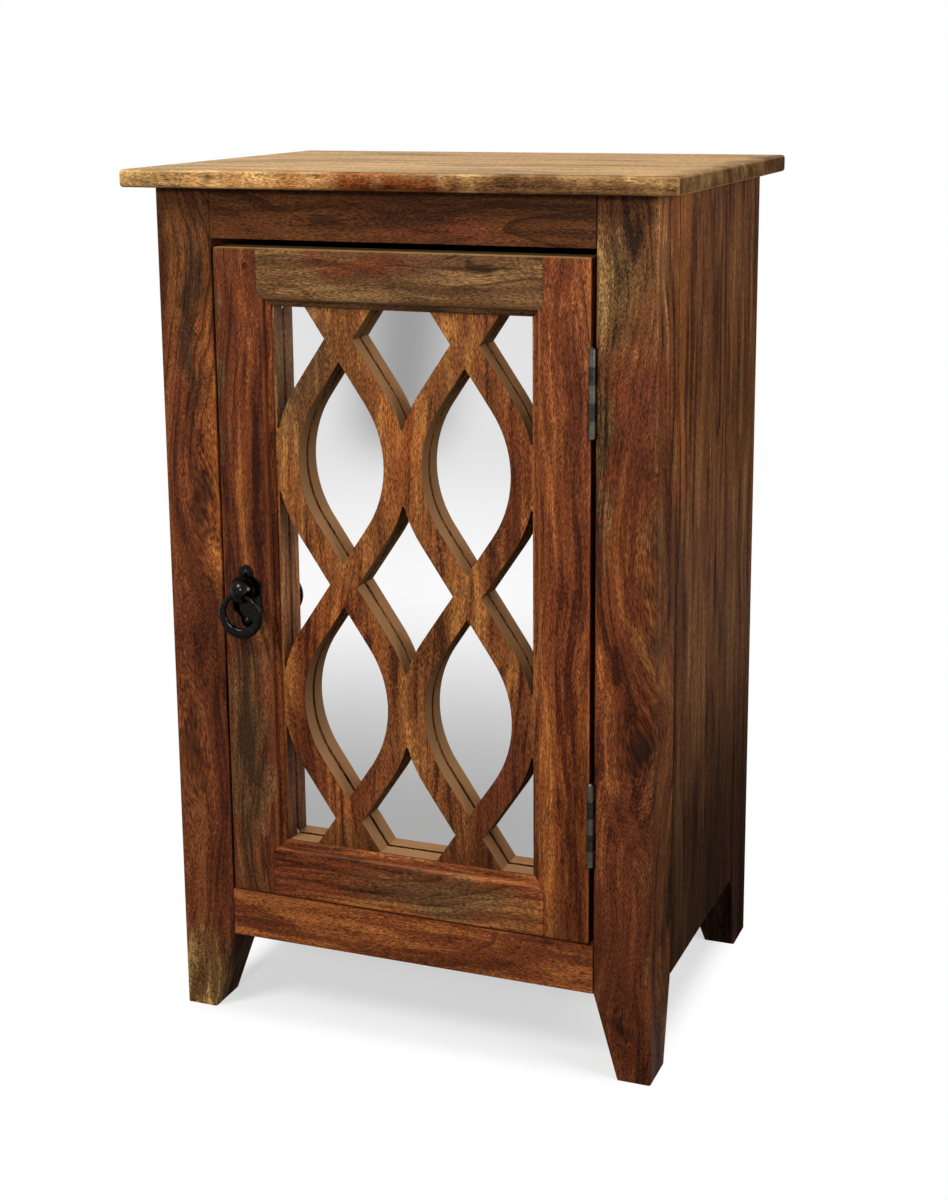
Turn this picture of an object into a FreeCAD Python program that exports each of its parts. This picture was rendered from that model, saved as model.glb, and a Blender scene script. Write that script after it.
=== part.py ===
import FreeCAD, Part
import math
import os
import re
import Sketcher

# Storage side table: a small cabinet on four tapered feet, its single door hung on two butt hinges
# at the right, with a pierced wooden lattice over a mirror and a ring pull at the left.
# Millimetres.  X to the right, Y to the back, Z up; the origin is on the floor, at the middle of
# the outer box, so the top board runs from -top_depth/2 in front to +top_depth/2 behind.

SIZES = {
    # top
    "table_height": 762, "top_width": 486, "top_depth": 362, "top_thick": 15, "top_round": 3,
    "overhang_side": 21.5, "overhang_front": 22.5, "overhang_back": 6.5,
    # legs
    "leg_width": 51, "leg_depth": 60, "foot_width": 29.5, "foot_depth": 42.5,
    "taper_height": 75.5, "leg_round": 2,
    # rails between the legs
    "top_rail_height": 42.5, "apron_height": 43, "rail_thick": 22,
    "tenon_thick": 8, "tenon_long": 20, "tenon_shoulder": 6,
    # side boards, their tongues and the small bevel where two boards meet
    "side_thick": 18, "tongue_thick": 6, "tongue_long": 8, "seam_bevel": 0.8,
    # panels inside
    "back_thick": 6, "back_lap": 35, "floor_thick": 12, "floor_drop": 2, "panel_play": 0.5,
    "shelf_thick": 12, "shelf_height": 395, "shelf_setback": 44,
    "cleat_wide": 15, "cleat_high": 15, "top_cleat_high": 18,
    # door frame
    "gap_latch": 2, "gap_hinge": 4.5, "gap_below": 1.5, "gap_above": 7.5,
    "door_thick": 27, "stile_width": 45, "head_rail_height": 43.5, "foot_rail_height": 45.5,
    "door_round": 1.5, "moulding": 5.5, "moulding_round": 4, "rebate_wide": 8, "recess": 9,
    "door_tenon_thick": 9, "door_tenon_long": 26, "door_tenon_set": 6,
    "bead_wide": 5, "bead_thick": 2.5, "bead_round": 1.8,
    # pierced lattice, mirror and board behind it
    "fretwork_thick": 15, "mirror_thick": 3, "door_panel_play": 0.5,
    "strip_width": 21, "lean_share": 1.4326, "waist_lap": 7.6, "side_lap": 1.8, "end_reach": 25.9,
    "border_side": 6.75, "border_end": 5.5, "cusp_half": 1, "sliver": 1.5,
    "backing_thick": 4, "backing_lap": 8, "backing_screw_in": 32,
    # butt hinges
    "hinge_height": 72, "hinge_end": 71, "barrel_radius": 3, "hinge_proud": 2.2, "leaf_thick": 2,
    "leaf_wide": 22, "pin_radius": 1.3, "pin_play": 0.05, "knuckle_play": 0.15, "barrel_play": 0.4,
    "pin_head": 2.4, "pin_head_high": 1.2, "leaf_play": 0.2, "notch_wide": 2.1, "notch_deep": 3,
    "notch_over": 0.8,
    # ring pull
    "pull_height": 395, "plate_half_wide": 14, "plate_half_tall": 28, "plate_body": 13,
    "plate_shoulder": 19, "plate_lobe": 6.3, "plate_thick": 2, "plate_round": 0.7,
    "boss_up": 7.3, "boss_radius": 9.5, "boss_proud": 18.6, "stud_radius": 2.5, "nut_flat": 5,
    "nut_thick": 4, "eye_out": 12, "eye_up": 4.2, "eye_radius": 5.2,
    "ring_radius": 20.8, "ring_hole": 13.9, "ring_top": 4.4, "ring_thick": 5, "ring_round": 2.1,
    "nail_head": 2.6, "nail_head_high": 1.2, "nail_shank": 0.9, "nail_long": 15,
    # plug in the stile, magnetic catch and its strike
    "plug_radius": 3, "plug_deep": 8, "plug_in": 30, "plug_down": 15,
    "catch_height": 560, "catch_tall": 40, "catch_wide": 14, "catch_deep": 14, "catch_gap": 0.3,
    "magnet_aside": 1, "magnet_proud": 3.7, "magnet_wide": 9, "magnet_tall": 22,
    "strike_thick": 1.5, "strike_tall": 36, "strike_wide": 9,
    # wood screws: head radius, shank radius, head height and whole length of each kind
    "screw_head": 3.6, "screw_shank": 1.9, "screw_cone": 2.4, "screw_long": 27,
    "small_head": 2.4, "small_shank": 1.2, "small_cone": 1.4, "small_long": 12,
    "screw_from_seam": 20, "screw_from_end": 30, "screw_edge": 1,
    # how far a cutter runs past the piece that it cuts through
    "overrun": 1,
}

# Places worked out from the sizes
PLACES = {
    "under_top": "table_height - top_thick",
    "front_y": "-top_depth/2 + overhang_front",
    "back_y": "top_depth/2 - overhang_back",
    "half_body": "top_width/2 - overhang_side",
    "leg_inner": "half_body - leg_width",
    "front_leg_y": "front_y + leg_depth",
    "back_leg_y": "back_y - leg_depth",
    "seam_y": "(front_leg_y + back_leg_y)/2",
    "side_inner": "half_body - side_thick",
    "apron_top": "taper_height + apron_height",
    "top_rail_z": "under_top - top_rail_height",
    "front_seam": "-top_depth/6",
    "back_seam": "top_depth/6",
    "back_panel_y": "back_y - rail_thick",
    "inside_back": "back_panel_y - back_thick",
    "floor_top": "apron_top - floor_drop",
    "floor_under": "floor_top - floor_thick",
    "shelf_front": "front_y + shelf_setback",
    # door
    "door_left": "gap_latch - leg_inner",
    "door_right": "leg_inner - gap_hinge",
    "door_bottom": "apron_top + gap_below",
    "door_top": "top_rail_z - gap_above",
    "frame_back": "front_y + door_thick",
    "open_left": "door_left + stile_width",
    "open_right": "door_right - stile_width",
    "open_bottom": "door_bottom + foot_rail_height",
    "open_top": "door_top - head_rail_height",
    "middle_x": "(open_left + open_right)/2",
    "middle_z": "(open_bottom + open_top)/2",
    "fretwork_y": "front_y + recess",
    "mirror_y": "fretwork_y + fretwork_thick",
    "mirror_back": "mirror_y + mirror_thick",
    # lattice: its strips run straight at the crossings and bend at the waists between them.  Both
    # columns reach the cut border at their sides and each other in the middle, whatever the door's
    # width; a strip that ran straight on would lean out lean_share times as far as its waist does
    "cut_side": "(open_right - open_left)/2 - border_side",
    "cut_end": "(open_top - open_bottom)/2 - border_end",
    "crossing_pitch": "cut_end - end_reach",
    "half_up": "crossing_pitch/2",
    "half_pitch": "(cut_side + side_lap - waist_lap/2)/2",
    "half_strip": "strip_width/2",
    "sway": "half_pitch + waist_lap/2 - half_strip",
    "strip_lean": "atan(lean_share*sway/half_up)",
    "strip_bend": "sway*(lean_share - 1)/(1/cos(strip_lean) - 1)",
    "bend_centre": "sway - strip_bend",
    "bend_outer": "strip_bend + half_strip",
    "bend_inner": "strip_bend - half_strip",
    "bend_wide": "bend_centre + bend_outer*cos(strip_lean)",
    "bend_high": "bend_outer*sin(strip_lean)",
    "notch": "half_strip/cos(strip_lean)",
    "point": "half_strip/sin(strip_lean)",
    "cusp_reach": "bend_outer - waist_lap/2 - cusp_half",
    "cusp_up": "sqrt(bend_outer^2 - (cusp_reach)^2)",
    "side_reach": "bend_outer - side_lap - sliver",
    "side_up": "sqrt(bend_outer^2 - (side_reach)^2)",
    "foot_half": "notch + end_reach*tan(strip_lean)",
    "backing_screw_up": "0.6*crossing_pitch",
    # hinges
    "hinge_x": "(door_right + leg_inner)/2",
    "hinge_y": "front_y - hinge_proud",
    "leaf_back": "front_y + leaf_wide",
    "leaf_front": "hinge_y + barrel_radius + barrel_play",
    # pull
    "pull_x": "(door_left + open_left)/2",
    "plate_y": "front_y - plate_thick",
    "eye_y": "plate_y - eye_out",
    "eye_z": "pull_height + eye_up",
    "boss_z": "pull_height + boss_up",
    "lobe_up": "plate_half_tall - plate_lobe",
    # catch and strike
    "strike_y": "frame_back + strike_thick",
    "magnet_y": "strike_y + catch_gap",
    "catch_y": "magnet_y + magnet_proud",
    "catch_middle": "-leg_inner + catch_wide/2 + magnet_aside",
    "catch_centre": "catch_height + catch_tall/2",
}

# Ends of the joints that more than one piece shares
TONGUE_Z = ("taper_height + tongue_long", "under_top")
DOOR_TENON_Y = ("fretwork_y", "fretwork_y + door_tenon_thick")
DOOR_TENONS = (("door_bottom + door_tenon_set", "open_bottom - rebate_wide - door_tenon_set"),
               ("open_top + rebate_wide + door_tenon_set", "door_top - door_tenon_set"))

# A hinge leaf's screws: height in sixths of the hinge, and share of the leaf's width
LEAF_SCREWS = ((1, "0.45"), (3, "0.7"), (5, "0.45"))

TOLERANCE = 0.01
SIDES = (("left", -1), ("right", 1))
UP = FreeCAD.Vector(0, 0, 1)
BACKWARD = FreeCAD.Vector(0, 1, 0)

doc = FreeCAD.newDocument("side_table")
sheet = doc.addObject("Spreadsheet::Sheet", "Sizes")
nodes = {}


# ---------------------------------------------------------------- sizes and expressions

def fill_sheet():
    """Write each driving dimension into a cell of its own, with its name beside it."""
    for row, (name, size) in enumerate(SIZES.items(), start=1):
        sheet.set("A%d" % row, name.replace("_", " "))
        sheet.set("B%d" % row, str(size))
        sheet.setAlias("B%d" % row, name)
    doc.recompute()


def sized(text):
    """Spell an expression out in the sheet's cells: a place becomes the sizes it is made of."""
    def spell(word):
        name = word.group()
        if name in PLACES:
            return "(" + sized(PLACES[name]) + ")"
        return "Sizes." + name if name in SIZES else name
    return re.sub(r"[a-z][a-z_]*", spell, str(text))


def value(text):
    """The number that an expression has now."""
    return float(sheet.evalExpression(sized(text)))


def ordered(ends):
    """Two coordinates as (low, high), so that a mirrored piece can give them either way round."""
    low, high = ends
    return (low, high) if value(low) <= value(high) else (high, low)


def mirrored(side, *coordinates):
    """The same coordinates on the left (-1) or on the right (1)."""
    return tuple("%d*(%s)" % (side, coordinate) for coordinate in coordinates)


# ---------------------------------------------------------------- bodies, sketches, features

def keep(label, thing):
    """Name a finished sub-part, whose label is its file's name."""
    thing.Label = label
    nodes[label] = thing
    return thing


def new_body(label):
    return keep(label, doc.addObject("PartDesign::Body", label))


def arc_between(start, end, radius, turn):
    """The shorter arc from start to end, which turns left (1) or right (-1) on its way."""
    chord = end - start
    across = FreeCAD.Vector(-chord.y, chord.x, 0).normalize()
    rise = math.sqrt(max(radius ** 2 - (chord.Length / 2) ** 2, 0))
    centre = (start + end) * 0.5 + across * rise * turn
    first, last = (start, end) if turn > 0 else (end, start)
    angles = [math.atan2(spot.y - centre.y, spot.x - centre.x) for spot in (first, last)]
    return Part.ArcOfCircle(Part.Circle(centre, UP, radius), *angles)


def add_loop(sketch, loop):
    """Draw one closed loop and tie it to the sheet.

    A corner is (across, up), or (across, up, radius, turn) where the edge that leaves it is an
    arc, which turns left (1) or right (-1).
    """
    spots = [FreeCAD.Vector(value(corner[0]), value(corner[1]), 0) for corner in loop]
    first = sketch.GeometryCount
    ends = []
    for number, corner in enumerate(loop):
        start, end = spots[number], spots[(number + 1) % len(loop)]
        if len(corner) == 2:
            sketch.addGeometry(Part.LineSegment(start, end))
        else:
            sketch.addGeometry(arc_between(start, end, value(corner[2]), corner[3]))
        ends.append((2, 1) if corner[3:] == (-1,) else (1, 2))
    ties = []
    for number, corner in enumerate(loop):
        edge, after = first + number, (number + 1) % len(loop)
        start, end = ends[number]
        ties.append(("Coincident", (edge, end, first + after, ends[after][0]), None))
        ties.append(("DistanceX", (-1, 1, edge, start, spots[number].x), corner[0]))
        ties.append(("DistanceY", (-1, 1, edge, start, spots[number].y), corner[1]))
        if len(corner) == 4:
            ties.append(("Radius", (edge, value(corner[2])), corner[2]))
    made = sketch.addConstraint([Sketcher.Constraint(kind, *what) for kind, what, size in ties])
    for index, (kind, what, size) in zip(made, ties):
        if size is not None:
            sketch.setExpression("Constraints[%d]" % index, sized(size))


def add_circle(sketch, across, up, radius):
    """Draw a circle and tie its centre and radius to the sheet."""
    spot = FreeCAD.Vector(value(across), value(up), 0)
    ring = sketch.addGeometry(Part.Circle(spot, UP, value(radius)))
    ties = [("DistanceX", (-1, 1, ring, 3, spot.x), across), ("DistanceY", (-1, 1, ring, 3, spot.y), up),
            ("Radius", (ring, value(radius)), radius)]
    made = sketch.addConstraint([Sketcher.Constraint(kind, *what) for kind, what, size in ties])
    for index, (kind, what, size) in zip(made, ties):
        sketch.setExpression("Constraints[%d]" % index, sized(size))


def draw(body, plane_role, loops, offset):
    """Sketch closed loops on one of the body's origin planes, moved along that plane's normal.

    A loop is a list of corners, or a circle's (across, up, radius).
    """
    sketch = body.newObject("Sketcher::SketchObject", body.Name + "_sketch")
    plane = [item for item in body.Origin.OriginFeatures if item.Role == plane_role]
    sketch.AttachmentSupport = [(plane[0], "")]
    sketch.MapMode = "FlatFace"
    sketch.setExpression("AttachmentOffset.Base.z", sized(offset))
    for loop in loops:
        if isinstance(loop, tuple):
            add_circle(sketch, *loop)
        else:
            add_loop(sketch, loop)
    return sketch


def extrude(body, kind, plane_role, loops, ends):
    """Pad or pocket loops between two coordinates along the plane's axis.

    A pad follows the sketch's normal and a pocket runs against it; the XZ plane's points to -Y.
    """
    low, high = ordered(ends)
    forward = plane_role != "XZ_Plane"
    at = low if (kind == "Pad") == forward else high
    sketch = draw(body, plane_role, loops, at if forward else "-(%s)" % at)
    step = body.newObject("PartDesign::" + kind, body.Name + "_" + kind.lower())
    step.Profile = sketch
    step.setExpression("Length", sized("(%s) - (%s)" % (high, low)))
    return step


def rectangle(across, up):
    return [(across[0], up[0]), (across[1], up[0]), (across[1], up[1]), (across[0], up[1])]


def rounded(across, up, radius):
    """A rectangle with round corners."""
    left, right = ordered(across)
    low, high = ordered(up)
    loop = []
    for corner_x, corner_y, inward_x, inward_y in ((right, low, -1, 1), (right, high, -1, -1),
                                                   (left, high, 1, -1), (left, low, 1, 1)):
        level = (corner_x, "(%s) + %d*%s" % (corner_y, inward_y, radius))
        beside = ("(%s) + %d*%s" % (corner_x, inward_x, radius), corner_y)
        first, second = (beside, level) if inward_x != inward_y else (level, beside)
        loop += [first + (radius, 1), second]
    return loop


def board(label, x, y, z):
    """A body that starts as one rectangular board."""
    body = new_body(label)
    extrude(body, "Pad", "XY_Plane", [rectangle(x, y)], z)
    return body


def add_tenon(body, x, y, z):
    extrude(body, "Pad", "XY_Plane", [rectangle(x, y)], z)


def cut_mortise(body, x, y, z):
    extrude(body, "Pocket", "XY_Plane", [rectangle(x, y)], z)


def lies_on(edge, arris):
    """Whether an edge lies along the planes that an arris names, such as x=... and y=..."""
    box = edge.BoundBox
    low = {"x": box.XMin, "y": box.YMin, "z": box.ZMin}
    high = {"x": box.XMax, "y": box.YMax, "z": box.ZMax}
    for axis, text in arris.items():
        place = value(text)
        if abs(low[axis] - place) > TOLERANCE or abs(high[axis] - place) > TOLERANCE:
            return False
    return True


def ease(body, size, chosen, kind="Fillet"):
    """Round or bevel the edges that chosen(edge) picks from the body as it stands."""
    doc.recompute()
    tip = body.Tip
    names = ["Edge%d" % number for number, edge in enumerate(tip.Shape.Edges, start=1) if chosen(edge)]
    step = body.newObject("PartDesign::" + kind, body.Name + "_" + kind.lower())
    step.Base = (tip, names)
    step.setExpression("Radius" if kind == "Fillet" else "Size", sized(size))
    return step


def ease_arrises(body, size, *arrises, kind="Fillet"):
    return ease(body, size, lambda edge: any(lies_on(edge, arris) for arris in arrises), kind)


# ---------------------------------------------------------------- primitives and booleans

def place(thing, x, y, z, toward=UP):
    """Set a thing's own +Z axis along a direction and tie its base point to the sheet."""
    turn = FreeCAD.Rotation(UP, toward)
    thing.Placement = FreeCAD.Placement(FreeCAD.Vector(value(x), value(y), value(z)), turn)
    for axis, text in (("x", x), ("y", y), ("z", z)):
        thing.setExpression("Placement.Base." + axis, sized(text))
    return thing


def block(name, x, y, z):
    """A box between two coordinates along each axis."""
    box = doc.addObject("Part::Box", name)
    spans = [ordered(ends) for ends in (x, y, z)]
    for side, (low, high) in zip(("Length", "Width", "Height"), spans):
        box.setExpression(side, sized("(%s) - (%s)" % (high, low)))
    return place(box, spans[0][0], spans[1][0], spans[2][0])


def rod(name, radius, length, spot, toward=UP):
    cylinder = doc.addObject("Part::Cylinder", name)
    cylinder.setExpression("Radius", sized(radius))
    cylinder.setExpression("Height", sized(length))
    return place(cylinder, *spot, toward)


def cone(name, base_radius, tip_radius, length, spot, toward=UP):
    taper = doc.addObject("Part::Cone", name)
    taper.setExpression("Radius1", sized(base_radius))
    taper.setExpression("Radius2", sized(tip_radius))
    taper.setExpression("Height", sized(length))
    return place(taper, *spot, toward)


def fuse(name, parts):
    whole = doc.addObject("Part::MultiFuse", name)
    whole.Shapes = parts
    whole.Refine = True
    return whole


def group(name, parts):
    """Several separate solids under one name, such as a set of like screws."""
    bundle = doc.addObject("Part::Compound", name)
    bundle.Links = parts
    return bundle


def cut(name, base, tool):
    rest = doc.addObject("Part::Cut", name)
    rest.Base = base
    rest.Tool = tool
    return rest


def let_in(tool, *labels):
    """Cut the room that a fastener or fitting takes out of each piece that it passes through."""
    for label in labels:
        blank = nodes[label]
        blank.Label = label + "_before_" + tool.Name
        keep(label, cut(label + "_bored", blank, tool))


def screw(name, spot, toward, kind="screw"):
    """A countersunk screw: the middle of its head's face is at spot, its tip points toward."""
    head = cone(name + "_head", kind + "_head", kind + "_shank", kind + "_cone", spot, toward)
    shank = rod(name + "_shank", kind + "_shank", kind + "_long", spot, toward)
    return fuse(name, [head, shank])


# ---------------------------------------------------------------- cabinet

def make_top():
    """Three boards glued edge to edge, their outer arrises rounded."""
    half = "top_width/2"
    rows = (("front", "-top_depth/2", "front_seam"), ("middle", "front_seam", "back_seam"),
            ("back", "back_seam", "top_depth/2"))
    for name, near, far in rows:
        body = board("top_board_" + name, ("-" + half, half), (near, far), ("under_top", "table_height"))
        seams = [{"y": seam} for seam in ("front_seam", "back_seam")]
        ease(body, "top_round", lambda edge: not any(lies_on(edge, seam) for seam in seams))


def make_leg(side, side_name, end_name):
    """A post whose two inner faces slope in below the apron; mortised for rails and side boards."""
    outer, inner, foot_x = mirrored(side, "half_body", "leg_inner", "half_body - foot_width")
    out_y, in_y, foot_y = (("front_y", "front_leg_y", "front_y + foot_depth") if end_name == "front"
                           else ("back_y", "back_leg_y", "back_y - foot_depth"))
    body = new_body(end_name + "_leg_" + side_name)
    square = rounded((outer, inner), (out_y, in_y), "leg_round")
    foot = body.newObject("PartDesign::AdditiveLoft", body.Name + "_foot")
    foot.Profile = draw(body, "XY_Plane", [rounded((outer, foot_x), (out_y, foot_y), "leg_round")], "0")
    foot.Sections = [draw(body, "XY_Plane", [square], "taper_height")]
    foot.Ruled = True
    extrude(body, "Pad", "XY_Plane", [square], ("taper_height", "under_top"))
    for ends in (tenon_z("top_rail_z", "under_top"), tenon_z("taper_height", "apron_top")):
        cut_mortise(body, mirrored(side, "leg_inner", "leg_inner + tenon_long"),
                    tenon_y(out_y, end_name), ends)
    away = "-" if end_name == "front" else "+"
    groove = (in_y, "%s %s tongue_long" % (in_y, away))
    cut_mortise(body, tongue_x(side), groove, TONGUE_Z)


def tenon_y(face, end_name):
    """Where a rail's tenon lies, from the rail's outer face inward."""
    inward = "+" if end_name == "front" else "-"
    near, far = "(rail_thick - tenon_thick)/2", "(rail_thick + tenon_thick)/2"
    return tuple("%s %s %s" % (face, inward, depth) for depth in (near, far))


def tenon_z(low, high):
    return ("%s + tenon_shoulder" % low, "%s - tenon_shoulder" % high)


def tongue_x(side):
    middle = "half_body - side_thick/2"
    return mirrored(side, middle + " - tongue_thick/2", middle + " + tongue_thick/2")


def make_rail(label, end_name, low, high):
    """A rail between two legs with a tenon at each end."""
    out_y, in_y = (("front_y", "front_y + rail_thick") if end_name == "front"
                   else ("back_y", "back_y - rail_thick"))
    body = board(label, ("-leg_inner", "leg_inner"), (out_y, in_y), (low, high))
    reach = "leg_inner + tenon_long"
    add_tenon(body, ("-(%s)" % reach, reach), tenon_y(out_y, end_name), tenon_z(low, high))
    return body


def make_side_boards(side, side_name):
    """Two upright boards tongued into the legs; the front one is grooved for the back one."""
    across = mirrored(side, "side_inner", "half_body")
    height = ("taper_height", "under_top")
    outside = across[1]
    front = board("side_board_%s_front" % side_name, across, ("front_leg_y", "seam_y"), height)
    ease_arrises(front, "seam_bevel", {"x": outside, "y": "seam_y"}, kind="Chamfer")
    add_tenon(front, tongue_x(side), ("front_leg_y - tongue_long", "seam_y - tongue_long"), TONGUE_Z)
    cut_mortise(front, tongue_x(side), ("seam_y - tongue_long", "seam_y"), TONGUE_Z)
    back = board("side_board_%s_back" % side_name, across, ("seam_y", "back_leg_y"), height)
    ease_arrises(back, "seam_bevel", {"x": outside, "y": "seam_y"}, kind="Chamfer")
    add_tenon(back, tongue_x(side), ("seam_y - tongue_long", "back_leg_y + tongue_long"), TONGUE_Z)


def inside_panel(label, front, z):
    """A level panel between the sides, notched round the four legs."""
    wide, narrow = "side_inner - panel_play", "leg_inner - panel_play"
    near, far = "front_leg_y + panel_play", "back_leg_y - panel_play"
    right = [(narrow, front), (narrow, near), (wide, near), (wide, far), (narrow, far),
             (narrow, "inside_back")]
    left = [("-(%s)" % across, depth) for across, depth in reversed(right)]
    body = new_body(label)
    extrude(body, "Pad", "XY_Plane", [right + left], z)


def make_inside():
    """Back panel, cabinet floor and one fixed shelf on cleats."""
    edge = "leg_inner - panel_play"
    board("back_panel", ("-(%s)" % edge, edge), ("inside_back", "back_panel_y"),
          ("apron_top - back_lap", "under_top"))
    inside_panel("floor_panel", "front_y + rail_thick", ("floor_under", "floor_top"))
    inside_panel("shelf", "shelf_front", ("shelf_height", "shelf_height + shelf_thick"))
    rows = (("floor", "floor_under - cleat_high", "floor_under"),
            ("shelf", "shelf_height - cleat_high", "shelf_height"),
            ("top", "under_top - top_cleat_high", "under_top"))
    for side_name, side in SIDES:
        for name, low, high in rows:
            board("%s_cleat_%s" % (name, side_name), mirrored(side, "side_inner - cleat_wide", "side_inner"),
                  ("front_leg_y", "back_leg_y"), (low, high))


def make_cabinet_screws():
    """Screws up into the top, sideways through the cleats, and through the back panel."""
    upward, sideways, backward = [], [], []
    levels = ("floor_under - cleat_high/2", "shelf_height - cleat_high/2", "under_top - top_cleat_high/2")
    for side_name, side in SIDES:
        middle, face = mirrored(side, "side_inner - cleat_wide/2", "side_inner - cleat_wide")
        for depth in ("front_seam - screw_from_seam", "0", "back_seam + screw_from_seam"):
            spot = (middle, depth, "under_top - top_cleat_high")
            upward.append(screw("top_screw_%s" % side_name, spot, UP))
        for level in levels:
            for depth in ("(front_leg_y + seam_y)/2", "(seam_y + back_leg_y)/2"):
                toward = FreeCAD.Vector(side, 0, 0)
                sideways.append(screw("cleat_screw_%s" % side_name, (face, depth, level), toward))
        for level in ("under_top - top_rail_height/2", "taper_height + apron_height/2"):
            for across in ("leg_inner - screw_from_end", "(leg_inner - screw_from_end)/3"):
                spot = (mirrored(side, across)[0], "inside_back", level)
                backward.append(screw("back_screw_%s" % side_name, spot, BACKWARD, "small"))
    let_in(keep("top_fixing_screws", group("top_fixing_screws", upward)),
           "top_cleat_left", "top_cleat_right", "top_board_front", "top_board_middle", "top_board_back")
    cleats = ["%s_cleat_%s" % (name, side_name) for name in ("floor", "shelf", "top")
              for side_name, side in SIDES]
    boards = ["side_board_%s_%s" % (side_name, end) for side_name, side in SIDES
              for end in ("front", "back")]
    let_in(keep("cleat_screws", group("cleat_screws", sideways)), *cleats, *boards)
    let_in(keep("back_panel_screws", group("back_panel_screws", backward)),
           "back_panel", "back_top_rail", "back_bottom_rail")


# ---------------------------------------------------------------- door

def make_stile(label, outer, inner, inward):
    """A full-height upright; its moulded inner edge stops in a mitre at each rail."""
    joint = "%s - %d*moulding" % (inner, inward)
    low, high = "open_bottom - moulding", "open_top + moulding"
    body = new_body(label)
    outline = [(outer, "door_bottom"), (joint, "door_bottom"), (joint, low), (inner, "open_bottom"),
               (inner, "open_top"), (joint, high), (joint, "door_top"), (outer, "door_top")]
    extrude(body, "Pad", "XZ_Plane", [outline], ("front_y", "frame_back"))
    ease_arrises(body, "door_round", {"x": outer, "y": "front_y"}, {"z": "door_top", "y": "front_y"},
                 {"z": "door_bottom", "y": "front_y"}, {"x": outer, "z": "door_top"},
                 {"x": outer, "z": "door_bottom"})
    ease_arrises(body, "moulding_round", {"x": inner, "y": "front_y"})
    cut_rebate(body)
    for low, high in DOOR_TENONS:
        cut_mortise(body, (joint, "%s - %d*door_tenon_long" % (joint, inward)), DOOR_TENON_Y, (low, high))
    return body


def cut_rebate(body):
    """The step round the back of the opening that holds the lattice and the mirror."""
    cut_mortise(body, ("open_left - rebate_wide", "open_right + rebate_wide"),
                ("fretwork_y", "frame_back"), ("open_bottom - rebate_wide", "open_top + rebate_wide"))


def make_door_rail(label, outer, inner, inward, tenon):
    """A rail between the stiles, its moulded edge mitred into theirs."""
    left, right = "open_left - moulding", "open_right + moulding"
    joint = "%s - %d*moulding" % (inner, inward)
    body = new_body(label)
    outline = [(left, outer), (right, outer), (right, joint), ("open_right", inner),
               ("open_left", inner), (left, joint)]
    extrude(body, "Pad", "XZ_Plane", [outline], ("front_y", "frame_back"))
    ease_arrises(body, "door_round", {"z": outer, "y": "front_y"})
    ease_arrises(body, "moulding_round", {"z": inner, "y": "front_y"})
    cut_rebate(body)
    add_tenon(body, (left + " - door_tenon_long", left), DOOR_TENON_Y, tenon)
    add_tenon(body, (right, right + " + door_tenon_long"), DOOR_TENON_Y, tenon)


def make_door_frame():
    make_stile("door_latch_stile", "door_left", "open_left", 1)
    make_stile("door_hinge_stile", "door_right", "open_right", -1)
    make_door_rail("door_bottom_rail", "door_bottom", "open_bottom", 1, DOOR_TENONS[0])
    make_door_rail("door_top_rail", "door_top", "open_top", -1, DOOR_TENONS[1])


def make_beads():
    """Slim mitred strips in the corner between the frame and the lattice, rounded on their inner edge."""
    left, right = "open_left", "open_right"
    low, high = "open_bottom", "open_top"
    in_left, in_right = "open_left + bead_wide", "open_right - bead_wide"
    in_low, in_high = "open_bottom + bead_wide", "open_top - bead_wide"
    front = "fretwork_y - bead_thick"
    inside = ((in_left, in_low), (in_right, in_low), (in_right, in_high), (in_left, in_high))
    rows = (("left", [(left, low), inside[0], inside[3], (left, high)], {"x": in_left}),
            ("right", [(right, low), inside[1], inside[2], (right, high)], {"x": in_right}),
            ("bottom", [(left, low), (right, low), inside[1], inside[0]], {"z": in_low}),
            ("top", [(left, high), (right, high), inside[2], inside[3]], {"z": in_high}))
    for name, outline, edge in rows:
        body = new_body("bead_" + name)
        extrude(body, "Pad", "XZ_Plane", [outline], (front, "fretwork_y"))
        ease_arrises(body, "bead_round", dict(edge, y=front))


# The lattice has two columns of strips that cross at -1, 0 and 1 crossing pitches from its middle.
# An opening is drawn from its own middle line: across is + on its right half, up is + above.

def at(column, across, level, up):
    """A corner, from a column's axis (in half pitches) and a level (in half crossing pitches)."""
    return ("middle_x + %g*half_pitch + (%s)" % (column, across),
            "middle_z + %g*half_up + (%s)" % (level, up))


def arc_at(column, across, level, up, radius, turn):
    return at(column, across, level, up) + (radius, turn)


def almond(column, level):
    """The pointed opening inside a column between two crossings."""
    tip = "half_up - point"
    wide, high = "bend_centre + bend_inner*cos(strip_lean)", "bend_inner*sin(strip_lean)"
    return [at(column, "0", level, "-(%s)" % tip),
            arc_at(column, wide, level, "-(%s)" % high, "bend_inner", 1),
            at(column, wide, level, high),
            at(column, "0", level, tip),
            arc_at(column, "-(%s)" % wide, level, high, "bend_inner", 1),
            at(column, "-(%s)" % wide, level, "-(%s)" % high)]


def diamond():
    """The middle opening between the columns; its long cusps end in a small round."""
    round_end = "cusp_half*bend_outer/(cusp_reach)"
    loop = []
    for up, column in ((-1, 1), (1, -1)):
        bend = "%d*bend_wide" % -column
        loop += [arc_at(0, "%d*cusp_half" % column, up, "%d*cusp_up" % -up, "bend_outer", -1),
                 at(column, bend, up, "%d*bend_high" % -up),
                 at(column, "%d*notch" % -column, 0, "0"),
                 arc_at(column, bend, -up, "%d*bend_high" % up, "bend_outer", -1),
                 arc_at(0, "%d*cusp_half" % column, -up, "%d*cusp_up" % up, round_end, 1)]
    return loop


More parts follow.
